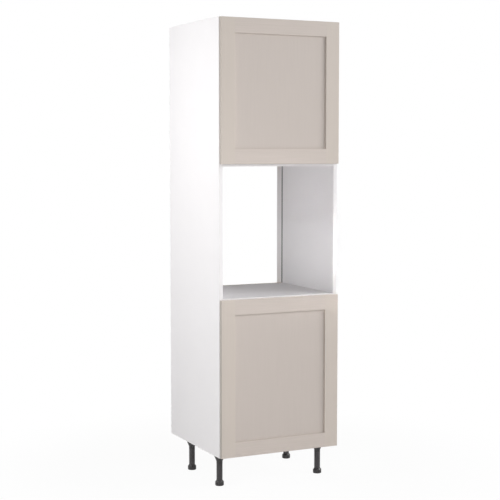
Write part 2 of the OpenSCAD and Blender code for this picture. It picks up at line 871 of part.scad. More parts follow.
// A cross-shaped plate on the side panel, with the block that the arm sits on.
module hinge_plate() {
    plate_x = inner_x - plate_t;
    wing_h = plate_screw_span + 2 * plate_margin;
    difference() {
        union() {
            translate([plate_x, system_line - plate_wing_w / 2, -wing_h / 2])
                cube([plate_t, plate_wing_w, wing_h]);
            translate([plate_x, adjust_y - plate_margin, -arm_w / 2])
                cube([plate_t, arm_screw_span + 2 * plate_margin, arm_w]);
            translate([strap_x, adjust_y - block_margin, -block_w / 2])
                cube([plate_x - strap_x, arm_screw_span + 2 * block_margin, block_w]);
        }
        for (k = [-1, 1]) translate([plate_x - cut, system_line, k * plate_screw_span / 2])
            rod_x(plate_screw_dia + 4 * hole_play, plate_t + 2 * cut);
        for (y = [adjust_y, clamp_y]) translate([strap_x - cut, y, 0])
            rod_x(arm_screw_dia + 2 * hole_play, plate_x - strap_x);
    }
}

module hinge_plates(hinge_zs) {
    for (z = hinge_zs) translate([0, 0, z]) hinge_plate();
}

module plate_screws(hinge_zs) {
    for (z = hinge_zs, k = [-1, 1])
        translate([inner_x - plate_t, system_line, z + k * plate_screw_span / 2]) rotate([0, -90, 0])
            pan_screw(plate_screw_dia, plate_screw_dia + 2 * head_over, screw_head_h, plate_t + pin_hole_depth);
}

module arm_screws(hinge_zs) {
    for (z = hinge_zs, y = [adjust_y, clamp_y]) translate([arm_x, y, z]) rotate([0, -90, 0])
        pan_screw(arm_screw_dia, arm_screw_dia + 2 * head_over, screw_head_h, arm_t + cheek_d);
}

module lower_hinge_cups() { color(zinc) in_carcass() hinge_cups(lower_hinge_zs); }
module lower_hinge_pins() { color(zinc) in_carcass() hinge_pins(lower_hinge_zs); }
module lower_cup_screws() { color(zinc) in_carcass() cup_screws(lower_hinge_zs); }
module lower_hinge_arms() { color(zinc) in_carcass() hinge_arms(lower_hinge_zs); }
module lower_hinge_plates() { color(zinc) in_carcass() hinge_plates(lower_hinge_zs); }
module lower_plate_screws() { color(zinc) in_carcass() plate_screws(lower_hinge_zs); }
module lower_arm_screws() { color(zinc) in_carcass() arm_screws(lower_hinge_zs); }
module upper_hinge_cups() { color(zinc) in_carcass() hinge_cups(upper_hinge_zs); }
module upper_hinge_pins() { color(zinc) in_carcass() hinge_pins(upper_hinge_zs); }
module upper_cup_screws() { color(zinc) in_carcass() cup_screws(upper_hinge_zs); }
module upper_hinge_arms() { color(zinc) in_carcass() hinge_arms(upper_hinge_zs); }
module upper_hinge_plates() { color(zinc) in_carcass() hinge_plates(upper_hinge_zs); }
module upper_plate_screws() { color(zinc) in_carcass() plate_screws(upper_hinge_zs); }
module upper_arm_screws() { color(zinc) in_carcass() arm_screws(upper_hinge_zs); }

// ---- the nodes ----

left_side();
right_side();
base_panel();
oven_shelf();
bay_top_shelf();
top_panel();
lower_back_panel();
upper_back_panel();
lower_loose_shelf();
lower_shelf_pins();
upper_loose_shelf();
upper_shelf_pins();
cam_locks();
cam_bolts();
dowels();
wall_brackets();
wall_bracket_screws();
leg_socket(front_left_leg);  // front_left_socket
leg_socket(front_right_leg);  // front_right_socket
leg_socket(rear_left_leg);  // rear_left_socket
leg_socket(rear_right_leg);  // rear_right_socket
leg_column(front_left_leg);  // front_left_column
leg_column(front_right_leg);  // front_right_column
leg_column(rear_left_leg);  // rear_left_column
leg_column(rear_right_leg);  // rear_right_column
leg_foot(front_left_leg);  // front_left_foot
leg_foot(front_right_leg);  // front_right_foot
leg_foot(rear_left_leg);  // rear_left_foot
leg_foot(rear_right_leg);  // rear_right_foot
socket_screws();
lower_door_left_stile();
lower_door_right_stile();
lower_door_top_rail();
lower_door_bottom_rail();
lower_door_panel();
lower_door_bumpers();
lower_hinge_cups();
lower_hinge_pins();
lower_cup_screws();
lower_hinge_arms();
lower_hinge_plates();
lower_plate_screws();
lower_arm_screws();
upper_door_left_stile();
upper_door_right_stile();
upper_door_top_rail();
upper_door_bottom_rail();
upper_door_panel();
upper_door_bumpers();
upper_hinge_cups();
upper_hinge_pins();
upper_cup_screws();
upper_hinge_arms();
upper_hinge_plates();
upper_plate_screws();
upper_arm_screws();
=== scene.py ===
# %% [markdown]
# # A tall oven housing, dressed for its photograph
# The CAD model gives every board, hinge and leg its exact size and place.
# This script keeps those places and gives each piece what CAD leaves out:
# the soft edges, the seams and the finishes that a camera sees. It is a kitchen
# unit of white melamine-faced chipboard with two painted doors, standing on
# four plastic legs. We load the CAD frame first.

# %% Load the frame
import json
import math
import bmesh
import bpy
import numpy as np
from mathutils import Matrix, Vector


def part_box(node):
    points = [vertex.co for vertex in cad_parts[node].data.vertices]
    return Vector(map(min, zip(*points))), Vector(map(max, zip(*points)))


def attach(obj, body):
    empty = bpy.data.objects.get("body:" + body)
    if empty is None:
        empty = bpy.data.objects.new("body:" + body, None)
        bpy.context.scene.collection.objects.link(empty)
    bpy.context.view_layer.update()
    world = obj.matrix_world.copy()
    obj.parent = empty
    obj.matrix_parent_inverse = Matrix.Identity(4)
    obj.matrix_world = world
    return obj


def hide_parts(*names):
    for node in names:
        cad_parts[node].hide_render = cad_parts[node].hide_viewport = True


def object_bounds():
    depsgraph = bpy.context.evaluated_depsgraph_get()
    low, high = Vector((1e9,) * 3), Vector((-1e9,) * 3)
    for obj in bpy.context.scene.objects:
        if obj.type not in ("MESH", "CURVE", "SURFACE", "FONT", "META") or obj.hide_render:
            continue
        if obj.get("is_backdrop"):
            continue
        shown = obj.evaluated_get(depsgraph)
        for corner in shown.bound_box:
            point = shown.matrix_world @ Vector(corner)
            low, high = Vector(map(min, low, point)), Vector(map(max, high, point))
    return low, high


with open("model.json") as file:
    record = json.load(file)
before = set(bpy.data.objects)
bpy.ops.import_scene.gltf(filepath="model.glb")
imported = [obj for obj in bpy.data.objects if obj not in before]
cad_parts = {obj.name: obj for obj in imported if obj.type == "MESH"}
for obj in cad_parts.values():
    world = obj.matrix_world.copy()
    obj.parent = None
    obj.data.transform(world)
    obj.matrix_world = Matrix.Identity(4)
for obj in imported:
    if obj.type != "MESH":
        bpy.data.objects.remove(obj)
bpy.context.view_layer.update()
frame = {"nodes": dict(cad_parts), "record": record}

MM = 0.001

# %% [markdown]
# ## The camera
# The unit is 2.12 m tall and was pictured from about 5.9 m away with a medium
# telephoto lens, from the left and slightly above its middle. The position
# comes from fitting a perspective camera to 27 edges of the unit, so that it
# can be typed in directly instead of being tuned by eye.

# %% Camera
camera = bpy.data.objects.new("camera", bpy.data.cameras.new("camera"))
bpy.context.scene.collection.objects.link(camera)
bpy.context.scene.camera = camera
camera.data.lens = 89.449
camera.data.sensor_width = 36
camera.location = (-2.58352, -5.28251, 1.53045)
camera.rotation_euler = (math.radians(85.4516), 0, math.radians(-25.942))
print("camera", tuple(round(v, 2) for v in camera.location))

# %% [markdown]
# ## Colours and nodes
# Colours are written as the sRGB hex values that a paint chart or an image
# editor shows. Blender's shaders work in linear light, so one function turns
# them over. A second small function adds any shader node, sets its properties
# and feeds its inputs, so that each material reads as a short recipe, from its
# textures to the Principled shader that closes it.

# %% Helpers for materials
def linear(hex_colour):
    """sRGB hex to linear light: c / 12.92 when dark, else ((c + 0.055) / 1.055) ** 2.4."""
    c = np.array([int(hex_colour[i:i + 2], 16) for i in (1, 3, 5)]) / 255
    return (*np.where(c <= 0.04045, c / 12.92, ((c + 0.055) / 1.055) ** 2.4).tolist(), 1.0)


def add(tree, kind, feeds=None, stops=(), **settings):
    """Adds a node. settings are its properties, feeds maps its inputs to values or output sockets,
    and stops are the (position, hex colour) pairs of a colour ramp."""
    node = tree.nodes.new(kind)
    for name, value in settings.items():
        setattr(node, name, value)
    for key, value in (feeds or {}).items():
        if isinstance(value, bpy.types.NodeSocket):
            tree.links.new(value, node.inputs[key])
        else:
            node.inputs[key].default_value = value
    for k, (position, colour) in enumerate(stops):
        points = node.color_ramp.elements
        point = points[k] if k < len(points) else points.new(position)
        point.position, point.color = position, linear(colour)
    return node


def empty_material(name):
    """A material whose node tree is still empty."""
    made = bpy.data.materials.new(name)
    made.use_nodes = True
    made.node_tree.nodes.clear()
    return made, made.node_tree


def close_material(tree, feeds):
    """Ends a recipe: the Principled shader with its inputs fed, joined to the output."""
    shader = add(tree, "ShaderNodeBsdfPrincipled", feeds)
    add(tree, "ShaderNodeOutputMaterial", {"Surface": shader.outputs[0]})


print("the doors' grey in linear light:", [round(c, 3) for c in linear("#D4CAC1")[:3]])

# %% [markdown]
# ## A pale studio
# The background is white all round, for the camera and for what metal mirrors.
# Diffuse rays see a dimmer grey instead, so that the room fills the shadows
# without washing them out. Light Path tells the two kinds of ray apart.

# %% World
def sees_white(tree):
    """1 for camera, glossy and transmission rays, else 0: the largest of Light Path's three flags."""
    ray = add(tree, "ShaderNodeLightPath")
    flag = ray.outputs["Is Camera Ray"]
    for other in ("Is Glossy Ray", "Is Transmission Ray"):
        flag = add(tree, "ShaderNodeMath", {0: flag, 1: ray.outputs[other]}, operation="MAXIMUM").outputs[0]
    return flag


ROOM_LEVEL = 0.16
world = bpy.data.worlds.new("studio")
bpy.context.scene.world = world
world.use_nodes = True
sky = world.node_tree
sky.nodes.clear()
level = add(sky, "ShaderNodeMapRange", {"Value": sees_white(sky), "To Min": ROOM_LEVEL, "To Max": 1.0})
glow = add(sky, "ShaderNodeBackground", {"Color": (1, 1, 1, 1), "Strength": level.outputs[0]})
add(sky, "ShaderNodeOutputWorld", {"Surface": glow.outputs[0]})
bpy.context.scene.view_settings.view_transform = "Standard"
print("room level", ROOM_LEVEL)

# %% [markdown]
# ## Lamps
# Soft boxes placed as a photographer would for a tall white unit. Two on the
# left whiten the side panel from behind the plane of the doors, so that the
# recess of a door isn't lit from the left. The key stands high at the right
# and a second one farther round: together they draw the dark line that the
# right stile throws on a door's panel, and neither is so strong that the right
# side turns to blank white. A narrow strip close in front brightens the left
# edge, two spots reach into the open bay, and a low one behind shows the backs.
# Their powers come from least squares over some sixty places in the photograph,
# and the last few per cent one by one.

# %% Lamps
def softbox(name, place, target, width, height, watts, spread=180):
    """An area lamp at place, its light travelling towards target in a cone of spread degrees:
    yaw = atan2(dx, -dy) and tilt = atan2(dz, length of (dx, dy)) turn it that way."""
    lamp = bpy.data.lights.new(name, "AREA")
    lamp.shape = "RECTANGLE"
    lamp.size, lamp.size_y, lamp.energy, lamp.spread = width, height, watts, math.radians(spread)
    holder = bpy.data.objects.new(name, lamp)
    bpy.context.scene.collection.objects.link(holder)
    holder.location = place
    dx, dy, dz = np.subtract(target, place)
    tilt = math.atan2(dz, math.hypot(dx, dy))
    holder.rotation_euler = (math.pi / 2 + tilt, 0, math.atan2(dx, -dy) + math.pi)
    return holder


UNIT = (0, -0.3, 1.2)
lamps = [
    softbox("left_high", (-1.6, -0.05, 1.9), (-0.3, -0.05, 1.9), 0.4, 1.2, 10.4),
    softbox("left_low", (-2.6, 0.0, 1.0), (-0.3, 0.0, 1.0), 0.5, 1.8, 19.7),
    softbox("key", (4.6, -4.4, 4.2), UNIT, 2.4, 2.4, 157),
    softbox("key_side", (4.4, -1.6, 2.4), UNIT, 1.2, 2.4, 90),
    softbox("front_strip", (-0.6, -1.6, 1.3), (-0.2, -0.3, 1.3), 0.15, 1.9, 8.3),
    softbox("bay_from_right", (2.6, -2.6, 1.2), (-0.28, -0.1, 1.17), 0.3, 0.4, 0.12, 12),
    softbox("bay_from_left", (-0.9, -3.0, 1.2), (0.28, -0.14, 1.08), 0.2, 0.3, 0.17, 11),
    softbox("behind", (0.4, 3.6, 0.5), (0, 0.3, 1.1), 1.6, 0.6, 36),
]
print("lamps in watts:", {lamp.name: lamp.data.energy for lamp in lamps})

# %% [markdown]
# ## The floor
# The photograph has no visible floor, only white. A real white floor would turn
# grey wherever the lamps fall off, so for the camera it is mostly a white glow,
# with enough matte paint left in the mix to hold a faint shadow under the unit.
# The mix goes over to pure glow with distance, so that no edge of it shows.

# %% Floor
FLOOR_HALF, PAINT_SHARE = 4.0, 0.05
floor_mesh = bpy.data.meshes.new("floor")
floor_mesh.from_pydata([(x * FLOOR_HALF, y * FLOOR_HALF, 0) for x, y in ((-1, -1), (1, -1), (1, 1), (-1, 1))],
                       [], [(0, 1, 2, 3)])
floor = bpy.data.objects.new("floor", floor_mesh)
bpy.context.scene.collection.objects.link(floor)
floor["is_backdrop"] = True
white_floor, tree = empty_material("white_studio_floor")
floor_place = add(tree, "ShaderNodeTexCoord")
far = add(tree, "ShaderNodeVectorMath", {0: floor_place.outputs["Object"]}, operation="LENGTH")
near_share = add(tree, "ShaderNodeMapRange", {"Value": far.outputs["Value"], "From Min": 0.7, "From Max": 1.6,
                                              "To Min": PAINT_SHARE, "To Max": 0.0},
                 interpolation_type="SMOOTHSTEP")
paint_share = add(tree, "ShaderNodeMix", {"Factor": sees_white(tree), "A": 1.0, "B": near_share.outputs[0]},
                  data_type="FLOAT")
paint = add(tree, "ShaderNodeBsdfDiffuse", {"Color": linear("#EBEAE9")})
light = add(tree, "ShaderNodeEmission", {"Color": (1, 1, 1, 1), "Strength": 1.0})
mixed = add(tree, "ShaderNodeMixShader",
            {0: paint_share.outputs[0], 1: light.outputs[0], 2: paint.outputs[0]})
add(tree, "ShaderNodeOutputMaterial", {"Surface": mixed.outputs[0]})
floor_mesh.materials.append(white_floor)
print("floor", 2 * FLOOR_HALF, "m square")

# %% [markdown]
# ## Patterns in millimetres
# Every finish here is made of two or three kinds of fine unevenness: grain,
# chips, the orange peel of sprayed paint. Each is a noise texture on Object
# coordinates, so that it stays put when a door opens. One function turns a
# feature's real size in millimetres into the scale of the texture. It can be
# longer along one axis, as wood fibres and brush marks are.

# %% Noise of a given size
def pattern(tree, size, kind="ShaderNodeTexNoise", **feeds):
    """A texture on Object coordinates, its features size = (x, y, z) millimetres long: scale = 1 / size."""
    place = add(tree, "ShaderNodeTexCoord")
    scale = tuple(1 / (MM * s) for s in np.broadcast_to(size, 3))
    scaled = add(tree, "ShaderNodeMapping", {"Vector": place.outputs["Object"], "Scale": scale})
    return add(tree, kind, {"Vector": scaled.outputs[0], "Scale": 1.0, **feeds})


print("a pattern of 2.5 mm has a scale of", round(1 / (2.5 * MM)))

# %% [markdown]
# ## White melamine and the board under it
# The carcass is melamine-faced chipboard: printed paper soaked in resin and
# pressed on both faces, with a strip of the same white glued to the front
# edge. Pressing gives it a fine pearl texture, about half a millimetre across.
# That is an eighth of a pixel in the photograph, so it is drawn 2.5 mm across,
# and very shallow. The oven shelf's faces are painted pale grey: that is painted
# shade, for the shade that falls on its top inside the bay. Its front strip
# stays white.

# %% White melamine, and melamine with painted shade
def melamine(name, dark, pale):
    """Pressed facing: its tint drifts from dark to pale over 90 mm, and one noise for the pearl texture
    moves its roughness and raises it by 0.03 mm."""
    made, tree = empty_material(name)
    drift = pattern(tree, 90, Detail=2.0).outputs["Fac"]
    pearl = pattern(tree, 2.5, Detail=1.0).outputs["Fac"]
    tint = add(tree, "ShaderNodeValToRGB", {"Fac": drift}, stops=[(0.3, dark), (0.7, pale)])
    shine = add(tree, "ShaderNodeMapRange", {"Value": pearl, "To Min": 0.64, "To Max": 0.76})
    relief = add(tree, "ShaderNodeBump", {"Height": pearl, "Distance": 0.03 * MM})
    close_material(tree, {"Base Color": tint.outputs[0], "Roughness": shine.outputs[0],
                          "Normal": relief.outputs[0], "IOR": 1.5})
    return made


white_melamine = melamine("white_melamine_facing", "#F5F3F4", "#F6F4F5")
# Painted shade: the oven shelf's facing is pale grey for the shade on its top in the bay.
shelf_painted_shade = melamine("melamine_with_painted_shade", "#DAD8D9", "#DBD9DA")
print("facings:", white_melamine.name, shelf_painted_shade.name)

# %% [markdown]
# ## Where the board is cut
# Saw cuts and drilled holes go through to the core of wood chips in glue, which
# the eye reads as small straw-coloured cells with dark pores between them. The
# groove for the backs is painted near black: that is painted shade, for the
# shade deep in the narrow groove.

# %% Raw chipboard
# Cells 2.2 mm across for the chips, as in the board's core, and a finer noise for glue and pores.
raw_chipboard, tree = empty_material("raw_chipboard")
chips = pattern(tree, 2.2, "ShaderNodeTexVoronoi").outputs["Color"]
chip_tone = add(tree, "ShaderNodeSeparateColor", {"Color": chips})
chip_colour = add(tree, "ShaderNodeValToRGB", {"Fac": chip_tone.outputs[0]},
                  stops=[(0.1, "#A17F57"), (0.45, "#BF9D72"), (0.8, "#D4B98F"), (1.0, "#E2CDA8")])
pores = pattern(tree, 0.9, Detail=4.0).outputs["Fac"]
pore_shade = add(tree, "ShaderNodeValToRGB", {"Fac": pores}, stops=[(0.35, "#6E5338"), (0.5, "#FFFFFF")])
shaded = add(tree, "ShaderNodeMix", {"Factor": 0.4, "A": chip_colour.outputs[0], "B": pore_shade.outputs[0]},
             data_type="RGBA", blend_type="MULTIPLY")
relief = add(tree, "ShaderNodeBump", {"Height": pores, "Distance": 0.3 * MM})
close_material(tree, {"Base Color": shaded.outputs["Result"], "Roughness": 0.85, "Normal": relief.outputs[0]})
print("made", raw_chipboard.name)

# %% Painted shade in the groove
# Painted shade: a near-black tint with a faint mottle stands for the shade inside the groove.
groove_painted_shade, tree = empty_material("groove_with_painted_shade")
groove_mottle = pattern(tree, (1.5, 1.5, 12), Detail=3.0).outputs["Fac"]
tint = add(tree, "ShaderNodeValToRGB", {"Fac": groove_mottle}, stops=[(0.3, "#20191B"), (0.7, "#2E2528")])
relief = add(tree, "ShaderNodeBump", {"Height": groove_mottle, "Distance": 0.2 * MM})
close_material(tree, {"Base Color": tint.outputs[0], "Roughness": 0.95, "Specular IOR Level": 0.05,
                      "Normal": relief.outputs[0]})
print("made", groove_painted_shade.name)

# %% [markdown]
# ## The rest of the carcass's materials
# The backs are thin fibreboard, white in front and bare brown behind. Two
# materials on one piece are simpler than one that asks which way it faces.
# Dowels are beech, whose short dark rays run along the grain.

# %% Fibreboard
fibreboard, tree = empty_material("brown_fibreboard")
fibres = pattern(tree, 1.2, Detail=5.0, Roughness=0.7).outputs["Fac"]
patches = pattern(tree, 150, Detail=2.0).outputs["Fac"]
both = add(tree, "ShaderNodeMath", {0: fibres, 1: patches}, operation="MULTIPLY")
tint = add(tree, "ShaderNodeValToRGB", {"Fac": both.outputs[0]},
           stops=[(0.05, "#AD8E69"), (0.28, "#B89A76"), (0.5, "#C0A480")])
relief = add(tree, "ShaderNodeBump", {"Height": fibres, "Distance": 0.1 * MM})
close_material(tree, {"Base Color": tint.outputs[0], "Roughness": 0.8, "Normal": relief.outputs[0]})
print("made", fibreboard.name)

# %% Beech
beech, tree = empty_material("turned_beech")
grain = pattern(tree, (12, 0.8, 0.8), Detail=3.0).outputs["Fac"]
grain_colour = add(tree, "ShaderNodeValToRGB", {"Fac": grain}, stops=[(0.3, "#CFAA77"), (0.7, "#E2C79B")])
rays = pattern(tree, (3, 0.5, 0.5), "ShaderNodeTexVoronoi").outputs["Distance"]
ray_shade = add(tree, "ShaderNodeValToRGB", {"Fac": rays}, stops=[(0.0, "#A97F52"), (0.16, "#FFFFFF")])
shaded = add(tree, "ShaderNodeMix", {"Factor": 0.5, "A": grain_colour.outputs[0], "B": ray_shade.outputs[0]},
             data_type="RGBA", blend_type="MULTIPLY")
relief = add(tree, "ShaderNodeBump", {"Height": grain, "Distance": 0.05 * MM})
close_material(tree, {"Base Color": shaded.outputs["Result"], "Roughness": 0.6, "Normal": relief.outputs[0]})
print("made", beech.name)

# %% [markdown]
# ## Stone paint
# The doors are fibreboard sprayed in a warm grey satin paint. Close up it has
# the orange peel of sprayed paint, and very faint streaks along each member
# where the primer was sanded. The members turn the streaks with them, so the
# recipe is made three times. The frame's paint is mixed a touch lighter and
# yellower than the panel's, though the door is one paint: that is painted light
# on the frame and painted shade on the sunk panel. The last two millimetres at
# each side of a door take a cooler, greyer tint, found from the distance to the
# middle of the door: that is painted shade on the outer edges.

# %% Satin paint for stiles, rails and panels
DOOR_HALF = 298.0
EDGE_SHADE_FROM, EDGE_SHADE_TO = (DOOR_HALF - 1.6) * MM, (DOOR_HALF - 0.4) * MM


def satin_paint(name, streak, dark, pale):
    """Sprayed satin paint from dark to pale. Its sanding streaks are drawn streak = (x, y, z) millimetres
    long, and a painted shade turns its tint greyer as |x| goes from 1.6 mm to 0.4 mm short of the door's
    edge."""
    made, tree = empty_material(name)
    streaks = pattern(tree, streak, Detail=3.0, Roughness=0.6).outputs["Fac"]
    front = add(tree, "ShaderNodeValToRGB", {"Fac": streaks}, stops=[(0.3, dark), (0.7, pale)])
    place = add(tree, "ShaderNodeTexCoord")
    across = add(tree, "ShaderNodeSeparateXYZ", {"Vector": place.outputs["Object"]})
    from_middle = add(tree, "ShaderNodeMath", {0: across.outputs["X"]}, operation="ABSOLUTE")
    # Painted shade: the last 1.6 mm at each side of a door blend into the greyer tint #B1A9A1.
    edge = add(tree, "ShaderNodeMapRange",
               {"Value": from_middle.outputs[0], "From Min": EDGE_SHADE_FROM, "From Max": EDGE_SHADE_TO},
               interpolation_type="SMOOTHSTEP")
    colour = add(tree, "ShaderNodeMix",
                 {"Factor": edge.outputs[0], "A": front.outputs[0], "B": linear("#B1A9A1")}, data_type="RGBA")
    peel = pattern(tree, 3.0, Detail=1.0).outputs["Fac"]
    shine = add(tree, "ShaderNodeMapRange", {"Value": peel, "To Min": 0.4, "To Max": 0.48})
    sanded = add(tree, "ShaderNodeBump", {"Height": streaks, "Distance": 0.03 * MM})
    sprayed = add(tree, "ShaderNodeBump",
                  {"Height": peel, "Distance": 0.02 * MM, "Normal": sanded.outputs[0]})
    close_material(tree, {"Base Color": colour.outputs["Result"], "Roughness": shine.outputs[0],
                          "Normal": sprayed.outputs[0], "IOR": 1.5})
    return made


# Painted light and shade: the stiles' and rails' paint is mixed lighter and yellower than the panels', though
# the door is one paint.
stile_paint = satin_paint("satin_paint_on_stiles", (4, 4, 160), "#D2C8BF", "#D4CAC1")
rail_paint = satin_paint("satin_paint_on_rails", (160, 4, 4), "#CFC5BD", "#D5CAC3")
panel_paint = satin_paint("satin_paint_on_panels", (9, 9, 220), "#CDC3BC", "#CFC5BE")
print("paints:", stile_paint.name, rail_paint.name, panel_paint.name)

# %% [markdown]
# ## Plastics and metals
# The legs' columns are moulded in charcoal polypropylene with a spark-eroded
# texture, really a tenth of a millimetre across and drawn at 0.8 mm so that a
# close view shows it. The socket and the foot are the same plastic from
# polished moulds, with a brighter shine along each flute, and are mixed blacker
# than the column: on the sockets that is painted shade, for the shade under
# the carcass. The hinge's cup and arm are nickel-plated steel, drawn and
# polished. Pins, bolts and brackets are zinc-plated, which is bluer and
# blotchy, and the cams are cast zinc, dull and slightly sandy. All of these
# differ only in tint, roughness and the size of their unevenness, so one
# recipe serves for all.

# %% Legs and metals
def one_skin(name, dark, pale, rough, size, deep, constants, detail=3.0):
    """One noise of size millimetres sets all: a tint from dark to pale, a roughness over
    rough = (low, high) and a relief of deep millimetres. constants are the same all over."""
    made, tree = empty_material(name)
    spots = pattern(tree, size, Detail=detail).outputs["Fac"]
    tint = add(tree, "ShaderNodeValToRGB", {"Fac": spots}, stops=[(0.3, dark), (0.7, pale)])
    shine = add(tree, "ShaderNodeMapRange", {"Value": spots, "To Min": rough[0], "To Max": rough[1]})
    relief = add(tree, "ShaderNodeBump", {"Height": spots, "Distance": deep * MM})
    close_material(tree, {"Base Color": tint.outputs[0], "Roughness": shine.outputs[0],
                          "Normal": relief.outputs[0], **constants})
    return made


PLASTIC, METAL = {"IOR": 1.49}, {"Metallic": 1.0}
leg_plastic = one_skin("moulded_charcoal_polypropylene", "#3A3739", "#403D3F", (0.42, 0.56), 0.8, 0.04,
                       PLASTIC)
# Partly painted shade: this blacker tint stands for the shade under the carcass on the sockets.
black_and_shaded_plastic = one_skin("polished_black_polypropylene_with_painted_shade", "#2A2829", "#322F31", (0.28, 0.38), 1.2, 0.02,
                         PLASTIC, detail=2.0)
nickel = one_skin("nickel_plated_steel", "#BDB9B2", "#CBC7C0", (0.2, 0.28), (0.6, 0.6, 6), 0.004, METAL)
zinc_plate = one_skin("zinc_plated_steel", "#B2B7BC", "#C8CCD0", (0.3, 0.38), 5, 0.01, METAL)
cast_zinc = one_skin("die_cast_zinc", "#A2A4A6", "#B4B6B8", (0.42, 0.5), 0.6, 0.03, METAL)
zinc_screw = one_skin("zinc_plated_screw_steel", "#B6B9BC", "#D0D3D5", (0.24, 0.32), 1.5, 0.008, METAL)
print("metals:", nickel.name, zinc_plate.name, cast_zinc.name, zinc_screw.name)

# %% Door bumpers' plastic
# Cast polyurethane, clear and a little cloudy, so that most light goes through it.
soft_bumper, tree = empty_material("clear_polyurethane_bumper")
cast = pattern(tree, 1.5).outputs["Fac"]
shine = add(tree, "ShaderNodeMapRange", {"Value": cast, "To Min": 0.12, "To Max": 0.25})
close_material(tree, {"Base Color": linear("#EDEFEF"), "Roughness": shine.outputs[0], "IOR": 1.5,
                      "Transmission Weight": 0.7})
print("made", soft_bumper.name)

# %% [markdown]
# ## Surfaces from arrays
# Nearly everything on this unit is a board, a turned or moulded round, or a bar
# with one cross-section. All three can be worked out as a grid of points: the
# columns go round the piece and the rows go along it. Modelling them by hand
# would do as well for one door, but a formula gives every copy the exact CAD
# size. The grids then only need joining into quads and closing at their ends.

# %% Grids to closed shells
def shell(points):
    """A closed shell: quads join corner (i, j) to its neighbours along and round, and a flat face
    shuts each end."""
    rows, columns = points.shape[:2]
    i, j = np.arange(rows - 1)[:, None] * columns, np.arange(columns)[None, :]
    after = (j + 1) % columns
    quads = np.stack([i + j, i + after, i + columns + after, i + columns + j], axis=-1).reshape(-1, 4)
    ends = [list(range(columns)), list(range((rows - 1) * columns, rows * columns))]
    return points.reshape(-1, 3), quads.tolist() + ends


def joined(shells):
    """Several shells as one: each one's corner numbers move up by the count of the corners before it."""
    starts = np.cumsum([0] + [len(points) for points, _ in shells])
    faces = [[corner + int(start) for corner in face]
             for (_, group), start in zip(shells, starts) for face in group]
    return np.concatenate([points for points, _ in shells]), faces


def mesh_of(name, *shells):
    """Shells in millimetres to a mesh in metres, doubles merged and all faces turned outwards."""
    points, faces = joined(shells)
    mesh = bpy.data.meshes.new(name)
    mesh.from_pydata((points * MM).tolist(), [], faces)
    work = bmesh.new()
    work.from_mesh(mesh)
    bmesh.ops.remove_doubles(work, verts=work.verts, dist=2e-6)
    bmesh.ops.dissolve_degenerate(work, edges=work.edges, dist=1e-6)
    bmesh.ops.recalc_face_normals(work, faces=work.faces)
    work.to_mesh(mesh)
    work.free()
    return mesh


square = np.array([(0, 0, 0), (1, 0, 0), (1, 1, 0), (0, 1, 0)], float)
print("two squares joined make a shell of", len(shell(np.stack([square, square + [0, 0, 1]]))[1]), "faces")

# %% [markdown]
# ## Into the place of a CAD node
# A finished piece stands for one CAD node: it moves with the same body and
# hides the node. Corners sharper than a limit stay crisp, and a Weighted Normal
# modifier makes wide faces shade flat while their rounded edges shade smoothly.

# %% Placing a piece
body_of = {node: body for body, nodes in frame["record"]["behaviour"]["bodies"].items() for node in nodes}
SHARP, BEVELLED = math.radians(35), math.radians(40)


def placed(mesh, node, *materials, bevel=0.0):
    """The mesh as the piece that stands for node. bevel is the width in millimetres of an extra softened
    edge."""
    for material in materials:
        mesh.materials.append(material)
    mesh.shade_smooth()
    mesh.set_sharp_from_angle(angle=SHARP)
    piece = bpy.data.objects.new(mesh.name, mesh)
    bpy.context.scene.collection.objects.link(piece)
    if bevel:
        softened = piece.modifiers.new("softened edges", "BEVEL")
        softened.width, softened.segments = bevel * MM, 2
        softened.limit_method, softened.angle_limit = "ANGLE", BEVELLED
    piece.modifiers.new("even shading", "WEIGHTED_NORMAL").keep_sharp = not bevel
    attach(piece, body_of[node])
    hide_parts(node)
    return piece


def node_box(node):
    """A CAD node's lowest and highest corner in millimetres, to a thousandth."""
    return [np.round(np.array(corner) / MM, 3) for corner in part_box(node)]


print("oven shelf in millimetres:", *node_box("oven_shelf"))

# %% [markdown]
# ## Bars and boards
# A board, a stile and a rail are one cross-section carried along a line. The
# cross-section is a rectangle with rounded corners and perhaps a notch for a
# groove. Each row of the grid is that outline, clipped to four limits. Drawing
# the limits in near an end rounds the end. Narrow limits past the shoulder of a
# rail make its tenon, and a depth that changes along the way starts and stops
# a groove. So one small formula makes every board and bar of the unit.

# %% An outline carried along a line
def outline(a0, a1, b0, b1, radii, notch=None):
    """Rounded rectangle, anticlockwise from its (a1, b0) corner: centre + radius * (cos t, sin t) at
    each corner. notch = (from b, to b) adds two doubled points on the a1 side; the third column marks
    those that sink in."""
    turn = np.radians(np.linspace(-90, 0, 5))
    sides = [(a1, b0, -1, 1), (a1, b1, -1, -1), (a0, b1, 1, -1), (a0, b0, 1, 1)]
    corners = []
    for k, (a, b, a_side, b_side) in enumerate(sides):
        angle, r = turn + k * math.pi / 2, radii[k]
        corners.append(np.column_stack([a + r * (a_side + np.cos(angle)), b + r * (b_side + np.sin(angle)),
                                        0 * angle]))
    if notch:
        n0, n1 = notch
        corners.insert(1, np.array([[a1, n0, 0], [a1, n0, 1], [a1, n1, 1], [a1, n1, 0]]))
    return np.concatenate(corners)


def carried(loop, stations, order, flip=1):
    """Row s is clip(a - sinks * depth_s, limits_s) and clip(b, limits_s) at distance c_s. order names
    the axes of a, b and c."""
    c, a_low, a_high, b_low, b_high, depth = np.array(stations, float).T[:, :, None]
    a = np.clip(loop[:, 0] - loop[:, 2] * depth, a_low, a_high)
    b = np.clip(loop[:, 1] + 0 * c, b_low, b_high)
    points = np.empty((*a.shape, 3))
    for axis, values in zip(order, (flip * a, b, c + 0 * a)):
        points[..., axis] = values
    return points


